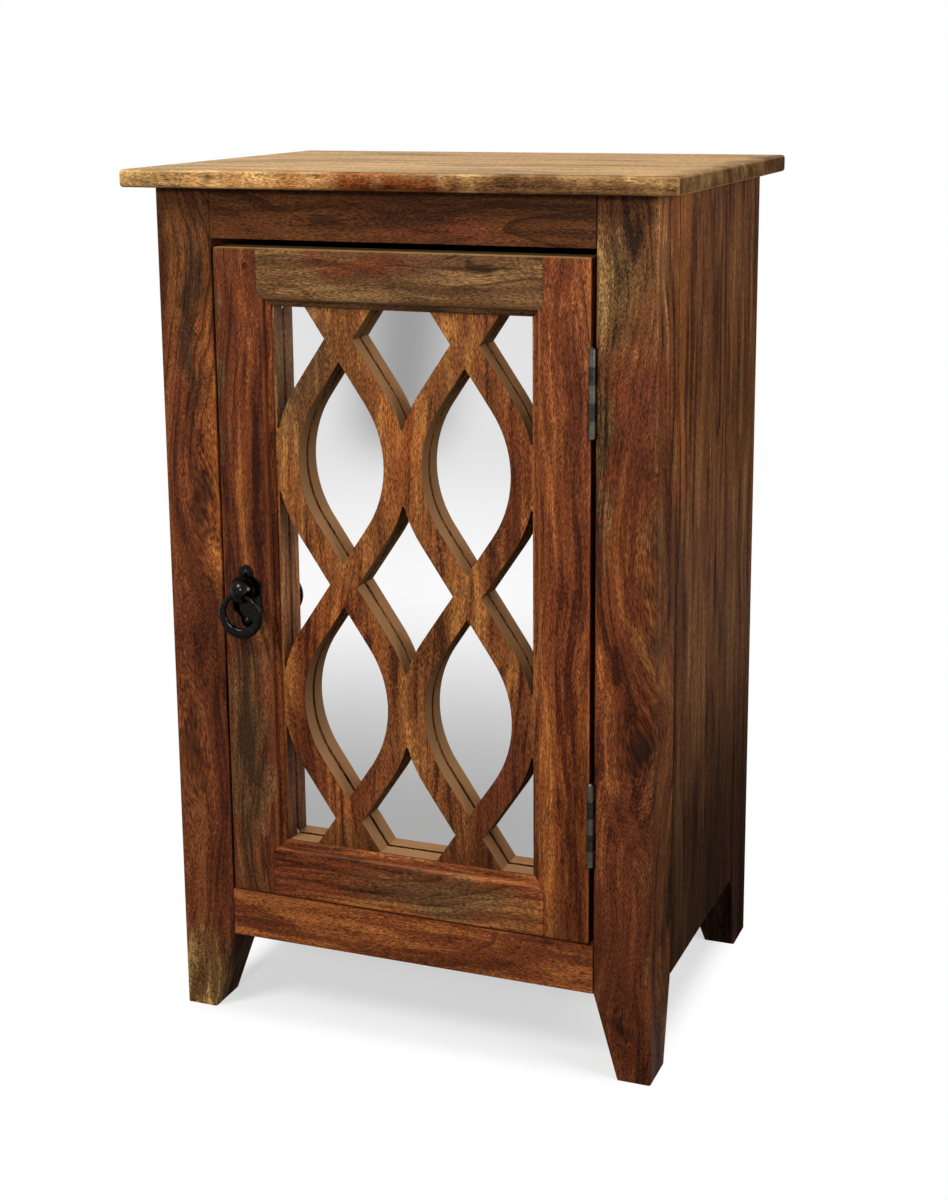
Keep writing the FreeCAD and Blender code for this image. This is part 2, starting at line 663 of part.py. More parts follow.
def side_half(side):
    """Half a diamond between a column and the panel's border."""
    edge = "%d*(cut_side)" % side
    thin = "%d*(cut_side - sliver)" % side
    bend = "%d*bend_wide" % side
    return [at(0, edge, -1, "side_up"), at(0, edge, 1, "-(side_up)"),
            arc_at(0, thin, 1, "-(side_up)", "bend_outer", -side),
            at(side, bend, 1, "-bend_high"),
            at(side, "%d*notch" % side, 0, "0"),
            arc_at(side, bend, -1, "bend_high", "bend_outer", -side),
            at(0, thin, -1, "side_up")]


def middle_end(end):
    """The opening between the columns above (1) or below (-1) their last waist."""
    loop = []
    for column in (-1, 1):
        edge = [arc_at(0, "%d*cusp_half" % column, end, "%d*cusp_up" % end, "bend_outer", -column * end),
                at(column, "%d*bend_wide" % -column, end, "%d*bend_high" % end),
                at(column, "%d*notch" % -column, 2 * end, "0"),
                at(column, "%d*foot_half" % -column, 0, "%d*cut_end" % end)]
        loop.append(edge)
    first, second = loop
    start, bend, notch, foot = second
    round_end = "cusp_half*bend_outer/(cusp_reach)"
    back = [foot, notch, bend[:2] + ("bend_outer", end), start[:2] + (round_end, -end)]
    return first + back


def corner(side, end):
    """The opening between a column's end and a corner of the border."""
    edge = "%d*(cut_side)" % side
    thin = "%d*(cut_side - sliver)" % side
    return [arc_at(0, thin, end, "%d*side_up" % end, "bend_outer", side * end),
            at(side, "%d*bend_wide" % side, end, "%d*bend_high" % end),
            at(side, "%d*notch" % side, 2 * end, "0"),
            at(side, "%d*foot_half" % side, 0, "%d*cut_end" % end),
            at(0, edge, 0, "%d*cut_end" % end),
            at(0, edge, end, "%d*side_up" % end)]


def make_fretwork():
    """One board pierced with thirteen openings, held in the door's rebate."""
    body = door_panel("fretwork_panel", ("fretwork_y", "mirror_y"))
    ways = (-1, 1)
    openings = [almond(column, level) for column in ways for level in ways]
    openings += [diamond()] + [side_half(side) for side in ways] + [middle_end(end) for end in ways]
    openings += [corner(side, end) for side in ways for end in ways]
    for opening in openings:
        extrude(body, "Pocket", "XZ_Plane", [opening], ("fretwork_y", "mirror_y"))


def door_panel(label, y):
    """A sheet that fills the door's rebate."""
    edge = "rebate_wide - door_panel_play"
    return board(label, ("open_left - (%s)" % edge, "open_right + %s" % edge), y,
                 ("open_bottom - (%s)" % edge, "open_top + %s" % edge))


def make_backing():
    """A board over the mirror's back, screwed to the door frame all round."""
    lap = "rebate_wide + backing_lap"
    left, right = "open_left - (%s)" % lap, "open_right + %s" % lap
    low, high = "open_bottom - (%s)" % lap, "open_top + %s" % lap
    board("mirror_backing", (left, right), ("mirror_back", "mirror_back + backing_thick"), (low, high))
    inset = "backing_lap/2"
    spots = [(across, level) for level in ("%s + %s" % (low, inset), "%s - %s" % (high, inset))
             for across in (left + " + backing_screw_in", "middle_x", right + " - backing_screw_in")]
    spots += [(across, level) for across in ("%s + %s" % (left, inset), "%s - %s" % (right, inset))
              for level in ("middle_z - backing_screw_up", "middle_z + backing_screw_up")]
    toward = FreeCAD.Vector(0, -1, 0)
    screws = [screw("backing_screw", (across, "mirror_back + backing_thick", level), toward, "small")
              for across, level in spots]
    let_in(keep("backing_screws", group("backing_screws", screws)), "mirror_backing",
           "door_latch_stile", "door_hinge_stile", "door_top_rail", "door_bottom_rail")


def make_plug():
    """A small wooden plug that fills a hole near the top of the latch stile."""
    spot = ("door_left + plug_in", "front_y", "door_top - plug_down")
    plug = rod("stile_plug", "plug_radius", "plug_deep", spot, BACKWARD)
    let_in(keep("stile_plug", plug), "door_latch_stile")


# ---------------------------------------------------------------- hinges

def hinge_leaf(label, side, base, owned):
    """A leaf and its own knuckles of five: the cabinet (1) has the odd ones, the door (-1) the even."""
    face = "hinge_x + %d*(barrel_radius - leaf_thick)" % side
    outer = "hinge_x + %d*barrel_radius" % side
    pitch = "hinge_height/5"
    parts = [block(label + "_plate", (face, outer), ("leaf_front", "leaf_back"),
                   (base, "%s + hinge_height" % base))]
    for number in owned:
        low = "%s + %d*%s + knuckle_play/2" % (base, number, pitch)
        high = "%s + %d*%s - knuckle_play/2" % (base, number + 1, pitch)
        parts.append(block(label + "_neck", (face, outer), ("hinge_y", "leaf_front"), (low, high)))
        parts.append(rod(label + "_knuckle", "barrel_radius", "%s - knuckle_play" % pitch,
                         ("hinge_x", "hinge_y", low)))
    bore_play = "0" if side > 0 else "pin_play"
    start = ("hinge_x", "hinge_y", base + " - overrun")
    bore = rod(label + "_bore", "pin_radius + " + bore_play, "hinge_height + 2*overrun", start)
    keep(label, cut(label, fuse(label + "_solid", parts), bore))


def hinge_pin(label, base):
    """The pin that both leaves' knuckles turn on, with a small tapered head at each end."""
    top = base + " + hinge_height"
    spot = ("hinge_x", "hinge_y")
    parts = [rod(label + "_shaft", "pin_radius", "hinge_height", spot + (base,)),
             cone(label + "_cap", "pin_head", "pin_radius", "pin_head_high", spot + (top,)),
             cone(label + "_foot", "pin_head", "pin_radius", "pin_head_high", spot + (base,), -UP)]
    keep(label, fuse(label, parts))


def make_hinges():
    """Two butt hinges, each let into the leg and into the hinge stile."""
    screws = {1: [], -1: []}
    rows = (("upper", "door_top - hinge_end - hinge_height"), ("lower", "door_bottom + hinge_end"))
    leg, stile = nodes["front_leg_right"], nodes["door_hinge_stile"]
    for name, base in rows:
        hinge_leaf(name + "_hinge_cabinet_leaf", 1, base, (0, 2, 4))
        hinge_leaf(name + "_hinge_door_leaf", -1, base, (1, 3))
        hinge_pin(name + "_hinge_pin", base)
        seat = ("%s - leaf_play" % base, "%s + hinge_height + leaf_play" % base)
        depth = ("front_y", "leaf_back + leaf_play")
        cut_mortise(leg, ("leg_inner", "hinge_x + barrel_radius"), depth, seat)
        cut_mortise(stile, ("hinge_x - barrel_radius", "door_right"), depth, seat)
        notch = ("%s - notch_over" % base, "%s + hinge_height + notch_over" % base)
        cut_mortise(leg, ("leg_inner", "leg_inner + notch_wide"), ("front_y", "front_y + notch_deep"), notch)
        for side in (1, -1):
            face = "hinge_x + %d*(barrel_radius - leaf_thick)" % side
            for number, share in LEAF_SCREWS:
                spot = (face, "front_y + %s*leaf_wide" % share, "%s + %d*hinge_height/6" % (base, number))
                screws[side].append(screw("hinge_screw", spot, FreeCAD.Vector(side, 0, 0), "small"))
    cabinet = keep("cabinet_hinge_screws", group("cabinet_hinge_screws", screws[1]))
    let_in(cabinet, "upper_hinge_cabinet_leaf", "lower_hinge_cabinet_leaf", "front_leg_right")
    door = keep("door_hinge_screws", group("door_hinge_screws", screws[-1]))
    let_in(door, "upper_hinge_door_leaf", "lower_hinge_door_leaf", "door_hinge_stile")


# ---------------------------------------------------------------- ring pull, catch

def plate_outline():
    """A plate with straight flanks, sloped shoulders and a round lobe above and below."""
    right = [("plate_half_wide", "-plate_body"), ("plate_half_wide", "plate_body"),
             ("plate_lobe", "plate_shoulder"),
             ("plate_lobe", "lobe_up", "plate_lobe", 1), ("0", "plate_half_tall", "plate_lobe", 1),
             ("-plate_lobe", "lobe_up"), ("-plate_lobe", "plate_shoulder"),
             ("-plate_half_wide", "plate_body")]
    left = [("-plate_half_wide", "-plate_body"), ("-plate_lobe", "-plate_shoulder"),
            ("-plate_lobe", "-(lobe_up)", "plate_lobe", 1), ("0", "-plate_half_tall", "plate_lobe", 1),
            ("plate_lobe", "-(lobe_up)"), ("plate_lobe", "-plate_shoulder")]
    loop = right + left
    return [("pull_x + (%s)" % spot[0], "pull_height + (%s)" % spot[1]) + spot[2:] for spot in loop]


def make_boss():
    """A domed boss with a cross hole for the ring and a stud through the stile.

    It is turned about its own Y axis, with its seat on the backplate at y = 0.
    """
    body = new_body("pull_boss")
    stud = "plate_thick + door_thick + nut_thick"
    dome = "(boss_radius^2 + boss_proud^2)/(2*boss_proud)"
    profile = [("0", "-boss_proud", dome, 1), ("boss_radius", "0"), ("stud_radius", "0"),
               ("stud_radius", stud), ("0", stud)]
    sketch = draw(body, "XY_Plane", [profile], "0")
    turned = body.newObject("PartDesign::Revolution", "pull_boss_turned")
    turned.Profile = sketch
    turned.ReferenceAxis = (sketch, ["V_Axis"])
    turned.Angle = 360
    eye = ("-eye_out", "eye_up - boss_up", "eye_radius")
    extrude(body, "Pocket", "YZ_Plane", [eye], ("-boss_radius - overrun", "boss_radius + overrun"))
    place(body, "pull_x", "plate_y", "boss_z")
    return body


def make_ring():
    """A ring whose hole is off centre, so that it is slim in the boss and heavy at the bottom."""
    body = new_body("pull_ring")
    outside = ("pull_x", "eye_z + ring_top/2 - ring_radius", "ring_radius")
    inside = ("pull_x", "eye_z - ring_top/2 - ring_hole", "ring_hole")
    extrude(body, "Pad", "XZ_Plane", [outside, inside], ("eye_y - ring_thick/2", "eye_y + ring_thick/2"))
    ease(body, "ring_round", lambda edge: edge.BoundBox.YLength < TOLERANCE)


def make_nut():
    """A hexagon nut on the stud, against the stile's back."""
    spot = ("pull_x", "frame_back", "boss_z")
    prism = doc.addObject("Part::Prism", "nut_prism")
    prism.Polygon = 6
    prism.setExpression("Circumradius", sized("nut_flat/cos(30)"))
    prism.setExpression("Height", sized("nut_thick"))
    place(prism, *spot, BACKWARD)
    keep("pull_nut", prism)


def make_pull():
    """Backplate, boss, nut, two nails, and the ring that hangs in the boss."""
    plate = new_body("pull_backplate")
    extrude(plate, "Pad", "XZ_Plane", [plate_outline()], ("plate_y", "front_y"))
    ease_arrises(plate, "plate_round", {"y": "plate_y"}, kind="Chamfer")
    make_nut()
    let_in(make_boss(), "pull_backplate", "door_latch_stile", "pull_nut")
    nails = []
    for height in ("pull_height + lobe_up", "pull_height - (lobe_up)"):
        spot = ("pull_x", "plate_y", height)
        head = cone("nail_head", "nail_head", "nail_head/2", "nail_head_high", spot, -BACKWARD)
        nails.append(fuse("nail", [head, rod("nail_shank", "nail_shank", "nail_long", spot, BACKWARD)]))
    let_in(keep("pull_nails", group("pull_nails", nails)), "pull_backplate", "door_latch_stile")
    make_ring()


def make_catch():
    """A magnetic catch on the latch-side leg, and its steel strike on the stile's back."""
    left, right = "catch_middle - magnet_wide/2", "catch_middle + magnet_wide/2"
    housing = block("catch_housing", ("-leg_inner", "catch_wide - leg_inner"),
                    ("catch_y", "catch_y + catch_deep"), ("catch_height", "catch_height + catch_tall"))
    keep("catch_housing", housing)
    magnet = block("catch_magnet", (left, right), ("magnet_y", "catch_y + catch_deep/3"),
                   ("catch_centre - magnet_tall/2", "catch_centre + magnet_tall/2"))
    let_in(keep("catch_magnet", magnet), "catch_housing")
    strike = block("strike_plate", ("catch_middle - strike_wide/2", "catch_middle + strike_wide/2"),
                   ("frame_back", "strike_y"),
                   ("catch_centre - strike_tall/2", "catch_centre + strike_tall/2"))
    keep("strike_plate", strike)
    housing_screws, strike_screws = [], []
    for way in (-1, 1):
        level = "catch_centre + %d*(catch_tall/2 - screw_head - screw_edge)" % way
        spot = ("catch_wide - leg_inner", "catch_y + 2*catch_deep/3", level)
        housing_screws.append(screw("catch_screw", spot, FreeCAD.Vector(-1, 0, 0)))
        level = "catch_centre + %d*(strike_tall/2 - small_head - screw_edge)" % way
        strike_screws.append(screw("strike_screw", ("catch_middle", "strike_y", level), -BACKWARD, "small"))
    let_in(keep("catch_screws", group("catch_screws", housing_screws)), "catch_housing", "front_leg_left")
    let_in(keep("strike_screws", group("strike_screws", strike_screws)), "strike_plate", "door_latch_stile")


# ---------------------------------------------------------------- whole table

def make_cabinet():
    make_top()
    for side_name, side in SIDES:
        for end_name in ("front", "back"):
            make_leg(side, side_name, end_name)
        make_side_boards(side, side_name)
    make_rail("front_top_rail", "front", "top_rail_z", "under_top")
    make_rail("front_apron", "front", "taper_height", "apron_top")
    make_rail("back_top_rail", "back", "top_rail_z", "under_top")
    make_rail("back_bottom_rail", "back", "taper_height", "apron_top")
    make_inside()
    make_cabinet_screws()


def make_door():
    make_door_frame()
    make_beads()
    make_fretwork()
    door_panel("mirror", ("mirror_y", "mirror_back"))
    make_hinges()
    make_backing()
    make_plug()
    make_pull()
    make_catch()


def check_and_write():
    """Stop on any failed object or pocket that cut nothing, then write a file for each sub-part."""
    doc.recompute()
    for thing in doc.Objects:
        if {"Invalid", "Error"} & set(thing.State):
            raise RuntimeError("%s failed: %s" % (thing.Label, thing.State))
        if thing.TypeId == "PartDesign::Pocket":
            if thing.Shape.Volume > thing.BaseFeature.Shape.Volume - TOLERANCE:
                raise RuntimeError("%s cut nothing" % thing.Label)
    for label, thing in nodes.items():
        if thing.Shape.isNull() or not thing.Shape.isValid() or not thing.Shape.Solids:
            raise RuntimeError("%s has no good shape" % label)
    os.makedirs("parts", exist_ok=True)
    for label, thing in nodes.items():
        thing.Shape.exportStep("parts/%s.step" % label)
    print("%d sub-parts written" % len(nodes))


fill_sheet()
make_cabinet()
make_door()
check_and_write()
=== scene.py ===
import math
from collections import namedtuple

import bmesh
import bpy
import numpy as np
from bpy.props import FloatProperty, FloatVectorProperty, PointerProperty
from mathutils import Euler, Matrix, Vector


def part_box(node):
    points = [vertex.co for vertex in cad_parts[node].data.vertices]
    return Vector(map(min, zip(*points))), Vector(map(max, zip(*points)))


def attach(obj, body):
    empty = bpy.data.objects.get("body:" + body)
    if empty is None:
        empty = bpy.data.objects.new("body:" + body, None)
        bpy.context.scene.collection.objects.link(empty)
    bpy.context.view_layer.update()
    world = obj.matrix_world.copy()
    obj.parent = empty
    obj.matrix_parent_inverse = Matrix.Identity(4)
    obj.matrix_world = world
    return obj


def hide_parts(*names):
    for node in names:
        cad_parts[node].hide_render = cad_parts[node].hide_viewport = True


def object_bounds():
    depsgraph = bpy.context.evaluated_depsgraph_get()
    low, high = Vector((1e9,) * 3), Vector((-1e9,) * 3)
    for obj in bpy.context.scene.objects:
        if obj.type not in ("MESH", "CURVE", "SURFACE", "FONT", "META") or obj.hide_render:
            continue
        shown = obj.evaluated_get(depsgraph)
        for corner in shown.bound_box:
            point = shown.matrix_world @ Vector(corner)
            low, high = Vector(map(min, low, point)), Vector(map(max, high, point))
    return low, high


bl_info = {
    "name": "Storage Side Table Finishes",
    "version": (1, 0, 0),
    "blender": (4, 5, 0),
    "location": "3D View > Sidebar > Side Table",
    "description": "Dresses the side table's solids in stained wood, mirror glass and blackened iron",
    "category": "Object",
}

# Metres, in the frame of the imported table: X to the right, Y to the back, Z up, floor at 0.
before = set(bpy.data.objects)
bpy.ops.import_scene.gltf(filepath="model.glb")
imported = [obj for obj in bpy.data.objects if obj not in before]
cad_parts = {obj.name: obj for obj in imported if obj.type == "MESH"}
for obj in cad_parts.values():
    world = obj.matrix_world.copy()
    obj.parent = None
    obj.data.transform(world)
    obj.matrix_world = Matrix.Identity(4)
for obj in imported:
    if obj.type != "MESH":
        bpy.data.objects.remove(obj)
CAD_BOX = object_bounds()
MM = 0.001


# ---------- colours, nodes, meshes

def linear(hex_colour):
    """An sRGB hex colour as linear red, green, blue, alpha."""
    channels = [int(hex_colour[at:at + 2], 16) / 255 for at in (1, 3, 5)]
    return [c / 12.92 if c <= 0.04045 else ((c + 0.055) / 1.055) ** 2.4 for c in channels] + [1.0]


def colour(name, description, hex_colour):
    return FloatVectorProperty(name=name, description=description, subtype="COLOR", size=4,
                               min=0, max=1, default=linear(hex_colour))


def length(name, description, metres):
    return FloatProperty(name=name, description=description, subtype="DISTANCE", unit="LENGTH",
                         min=0, precision=4, default=metres)


def factor(name, description, amount):
    return FloatProperty(name=name, description=description, subtype="FACTOR", min=0, max=1, default=amount)


def power(name, description, watts):
    return FloatProperty(name=name, description=description, subtype="POWER", unit="POWER", min=0,
                         default=watts)


def plug(tree, socket, source):
    """Set an input, or link it to a socket or to a node's first live output."""
    if isinstance(source, bpy.types.Node):
        source = next(output for output in source.outputs if output.enabled)
    if isinstance(source, bpy.types.NodeSocket):
        tree.links.new(source, socket)
    else:
        socket.default_value = source


def fill(tree, node, inputs):
    """Plug values, sockets or nodes into a node's inputs, by name."""
    for name, source in inputs.items():
        plug(tree, node.inputs[name], source)


# the setting that the second word of a node's kind gives
MODES = {"Math": "operation", "VectorMath": "operation", "MapRange": "interpolation_type", "Mix": "data_type"}


def add(tree, kind, *sources, **settings):
    """Add a shader node or a group's end, set it, and fill its live inputs in order or by name.

    A MapRange takes a value, the two ends that it comes from, and the two that they turn into.
    """
    kind, *mode = kind.split()
    node = tree.nodes.new(kind if kind.startswith("NodeGroup") else "ShaderNode" + kind)
    if mode:
        setattr(node, MODES[kind], mode[0])
    for name, setting in settings.items():
        setattr(node, name, setting)
    live = [socket for socket in node.inputs if socket.enabled]
    for number, source in enumerate(sources):
        if isinstance(source, dict):
            fill(tree, node, source)
        else:
            plug(tree, live[number], source)
    return node


def noise_scale(mark):
    """The scale at which a noise texture's marks are so wide: at scale 1 they are about 0.6."""
    return 0.6 / mark


def new_material(name):
    """An empty node material, its tree, its Principled shader and its places in object space."""
    material = bpy.data.materials.new(name)
    material.use_nodes = True
    tree = material.node_tree
    tree.nodes.clear()
    shader = add(tree, "BsdfPrincipled")
    add(tree, "OutputMaterial", {"Surface": shader})
    return material, tree, shader, add(tree, "TexCoord").outputs["Object"]


def mottled(tree, hue, pattern, darkest):
    """A colour made unevenly darker by a pattern."""
    shade = add(tree, "MapRange", pattern, 0, 1, darkest, 1)
    return add(tree, "VectorMath SCALE", hue[:3], shade)


def raised(tree, pattern, height, strength):
    """The normal of a surface on which a pattern's marks are so high."""
    relief = add(tree, "Math MULTIPLY", pattern, height)
    return add(tree, "Bump", {"Height": relief, "Distance": 1.0, "Strength": strength})


def dress(node_name, material):
    """Give a CAD node's object one material."""
    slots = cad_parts[node_name].data.materials
    slots.clear()
    slots.append(material)


def grid_faces(rows, columns, wrap):
    """Quads between neighbouring grid points, row by row; wrap joins the last column to the first."""
    index = np.arange(rows * columns).reshape(rows, columns)
    if wrap:
        index = np.column_stack([index, index[:, 0]])
    corners = (index[:-1, :-1], index[:-1, 1:], index[1:, 1:], index[1:, :-1])
    return np.stack([corner.ravel() for corner in corners], axis=1)


MERGE = 0.001 * MM
SHARP_ANGLE = math.radians(35)


def closed_piece(name, body, material, sheets):
    """One object from grids of points (rows x columns x 3) that wrap round their columns.

    Rows that shrink to a point close a surface at its poles; a ring also repeats its first row.
    Doubles are merged and the faces turned outward.
    """
    points, faces, start = [], [], 0
    for sheet in sheets:
        rows, columns = sheet.shape[:2]
        points.append(sheet.reshape(-1, 3))
        faces.append(grid_faces(rows, columns, True) + start)
        start += rows * columns
    mesh = bpy.data.meshes.new(name)
    mesh.from_pydata(np.concatenate(points).tolist(), [], np.concatenate(faces).tolist())
    shape = bmesh.new()
    shape.from_mesh(mesh)
    bmesh.ops.remove_doubles(shape, verts=shape.verts, dist=MERGE)
    bmesh.ops.recalc_face_normals(shape, faces=shape.faces)
    shape.to_mesh(mesh)
    shape.free()
    mesh.shade_smooth()
    mesh.set_sharp_from_angle(angle=SHARP_ANGLE)
    mesh.materials.append(material)
    piece = bpy.data.objects.new(name, mesh)
    bpy.context.scene.collection.objects.link(piece)
    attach(piece, body)
    return piece


def axes_toward(toward):
    """Two unit vectors square to a direction, and the direction."""
    third = Vector(toward).normalized()
    first = third.orthogonal().normalized()
    return [np.array(axis) for axis in (first, third.cross(first), third)]


def round_angles(count):
    """Angles evenly round a full turn."""
    return np.linspace(0, 2 * math.pi, count, endpoint=False)


# ---------- what a user can change

# each kind of wood in words, then the colours of its dark rings, its middle and its pale streaks
WOODS = {
    "heart": ("red-brown heartwood", "#3E1C0F", "#62321C", "#7E4627"),
    "shade": ("evenest brown wood", "#3B1E0D", "#573116", "#704423"),
    "amber": ("orange-brown wood", "#3F1C0D", "#713A1F", "#9E5D2F"),
    "olive": ("stained sapwood", "#3C2817", "#624227", "#86633C"),
    "golden": ("golden sapwood", "#281B11", "#6E4D2B", "#C2955A"),
    # honey is the top boards' paler wood, partly their own colour and partly painted sheen
    "honey": ("lighter top boards", "#B58A50", "#D5A566", "#EAC48B"),
    "blond": ("palest sapwood", "#7E5A2C", "#A98350", "#C9A574"),
    "russet": ("red patches", "#4C2010", "#884A23", "#AC6A35"),
    "umber": ("brown side boards", "#3C2114", "#684025", "#866038"),
    "tawny": ("yellow-brown wood", "#4A2814", "#86502A", "#AC723A"),
    # dusk is the darkest stain, and on the right side also painted shade towards the floor
    "dusk": ("darkest stained wood", "#1C1009", "#382213", "#4B311E"),
    "inner": ("thinly stained inside boards", "#4E3420", "#765035", "#947150"),
    "sawn": ("wood bared by the saw", "#5A4028", "#75563A", "#9C8062"),
}
TONES = (("dark", "Dark rings"), ("mid", "Middle tone"), ("pale", "Pale streaks"))


def timber_colours():
    """Three colours for each kind of wood, and one for the knots."""
    colours = {"knot": colour("Knot", "Dark middle of a knot", "#1C100A")}
    for kind, (words, *hex_colours) in WOODS.items():
        for (tone, part), hex_colour in zip(TONES, hex_colours):
            name = "%s, %s" % (kind.capitalize(), part.lower())
            colours["%s_%s" % (kind, tone)] = colour(name, "%s of the %s" % (part, words), hex_colour)
    return colours


class TimberColours(bpy.types.PropertyGroup):
    """Stained sheesham: each kind of wood has dark rings, a middle tone and pale streaks."""
    __annotations__ = timber_colours()


class TimberGrain(bpy.types.PropertyGroup):
    """Sizes of the wood's figure and the sheen of its lacquer."""
    band: length("Band width", "Width of a typical light or dark band", 0.009)
    line: length("Ring line spacing", "Distance between thin ring lines", 0.005)
    streak_wide: length("Streak width", "Width of a long streak", 0.004)
    streak_long: length("Streak length", "Length of a long streak along the grain", 0.07)
    fleck_wide: length("Fleck width", "Width of a fleck of light or dark fibre", 0.0004)
    fleck_long: length("Fleck length", "Length of a fleck along the grain", 0.002)
    fray: factor("Fraying", "How far the flecks fray the edges of the bands", 0.3)
    pore_wide: length("Pore width", "Width of a dark pore mark, drawn wider than a real one", 0.0004)
    pore_long: length("Pore length", "Length of a dark pore mark along the grain", 0.003)
    wander: length("Wander", "How far the grain wanders from straight", 0.04)
    # the paler rounded edges are partly wear and partly a painted highlight along the arrises
    edge_wear_and_highlight: factor("Worn and highlit edges", "How much paler the rounded edges are", 0.55)
    gloss: factor("Lacquer roughness", "Roughness of the satin lacquer", 0.4)
    specular: factor("Lacquer reflection", "Specular level of the satin lacquer", 0.07)


class HardwareColours(bpy.types.PropertyGroup):
    """Iron, steel, silver and the catch's plastic."""
    iron: colour("Blackened iron", "Waxed black iron of the pull", "#12100E")
    iron_worn: colour("Worn iron", "Iron rubbed bright on its high spots", "#3A3530")
    hinge: colour("Hinge steel", "Antique steel of the hinges", "#8A857A")
    hinge_dark: colour("Hinge patina", "Dark patina of the hinges", "#3A342D")
    screw: colour("Screw steel", "Zinc-plated steel", "#A3A19C")
    silver: colour("Mirror silver", "Silver behind clear glass", "#FCFCFC")
    plastic: colour("Catch plastic", "Hollows of the catch's moulded skin", "#35261C")
    plastic_high: colour("Catch plastic, high spots", "High spots of the catch's moulded skin", "#46342A")


class PullSizes(bpy.types.PropertyGroup):
    """Sizes that the pull's new surfaces add to the solids."""
    hammer: length("Hammer depth", "Depth of the hammer marks on the ring", 0.00018)
    nail_dome: length("Nail dome", "Height of a nail's domed head", 0.0012)


class StudioSettings(bpy.types.PropertyGroup):
    """Light and floor."""
    floor: colour("Floor", "Matt grey floor, lifted to white for the camera", "#9C9C9C")
    ambient: factor("Ambient light", "Strength of the world for diffuse light", 0.28)
    lift: factor("Floor lift", "Light that the floor adds of its own for the camera", 0.62)
    under: factor("Under shade", "How much less light the floor adds under the table", 0.05)
    shadow_reach: length("Shadow reach", "Distance over which the shadow fades to white", 0.035)
    room_dark: factor("Room darkness", "How dark the room behind the right side looks in reflections", 0.85)
    key_power: power("Key light", "Power of the large lamp at the front left", 80.0)
    fill_power: power("Fill light", "Power of the lamp at the right", 8.0)
    front_power: power("Front light", "Power of the small lamp in front", 20.0)


GROUPS = (("table_timber", TimberColours), ("table_grain", TimberGrain), ("table_hardware", HardwareColours),
          ("table_pull", PullSizes), ("table_studio", StudioSettings))


# ---------- stained sheesham

# Rings round a pith line, as in a trunk.  A board's grain is the way its pith runs; pith is where
# that line passes, in millimetres from the board's middle, square to the grain.  tones is the kind
# of wood; zones are patches of another kind (middle, radii, kind), in metres.  Knots are (middle,
# radii, spread): the grain parts round them, more as spread nears 1.  seams are planes (axis, place)
# where a joint shows as a dark hairline.  wildness is how much the grain wanders.
Board = namedtuple("Board", "grain pith tones zones knots seams wildness", defaults=((), (), (), 0.6))
Zone = namedtuple("Zone", "middle radii tones")
Knot = namedtuple("Knot", "middle radii spread")

GRAIN_TURNS = {"X": (0, -math.pi / 2, 0), "Y": (math.pi / 2, 0, 0), "Z": (0, 0, 0)}
BOARD_STEP = 0.83          # each board is cut this far along the trunk from the one before
# the grain's slow bends and quick wobbles: noise scales across and along it, and shares of the wander
WAVES = (((7, 7, 4), 2), ((38, 38, 12), 0.3))
BAND_DRIFT = 1.6           # how soon the bands change along the grain, as a noise scale
STAIN_WIDE, STAIN_LONG = 30 * MM, 120 * MM
RING_UNEVEN = 4.0          # by how many rings the bands push the ring lines about
STREAK_SHARE = 1.1         # how strongly streaks count beside bands
TEAR, TEAR_MARK = 50 * MM, 20 * MM         # how far zones' and knots' edges are torn, and in what marks
KNOT_CORE = 0.3            # share of a knot's radii that is dark
SEAM_HALF = 0.35 * MM      # half the width of a joint's hairline
PORE_DEPTH, FIBRE_HEIGHT = 0.1 * MM, 0.04 * MM
PORES, INNER_PORES = 0.5, 0.3      # how strongly pores show, on the outside and the inside
END_GRAIN = 0.5            # the cut ends soak up stain and come out this much darker
# painted light: these pieces' upward faces are painted paler, so the door's top face seen in the gap looks lit
PAINTED_LIT_TOPS = ("door_top_rail", "door_latch_stile", "door_hinge_stile")
WORN_AND_HIGHLIT_PIECES = ("door_", "top_board_")      # their rounded edges are painted paler, partly as wear and partly as painted highlight
TOP_SHEEN = 0.3            # the top's lacquer is duller than the rest; its pale honey colour holds a painted sheen instead
INNER_SHEEN, INNER_ROUGH = 0.6, 0.22       # the inside has a thin sealing coat only


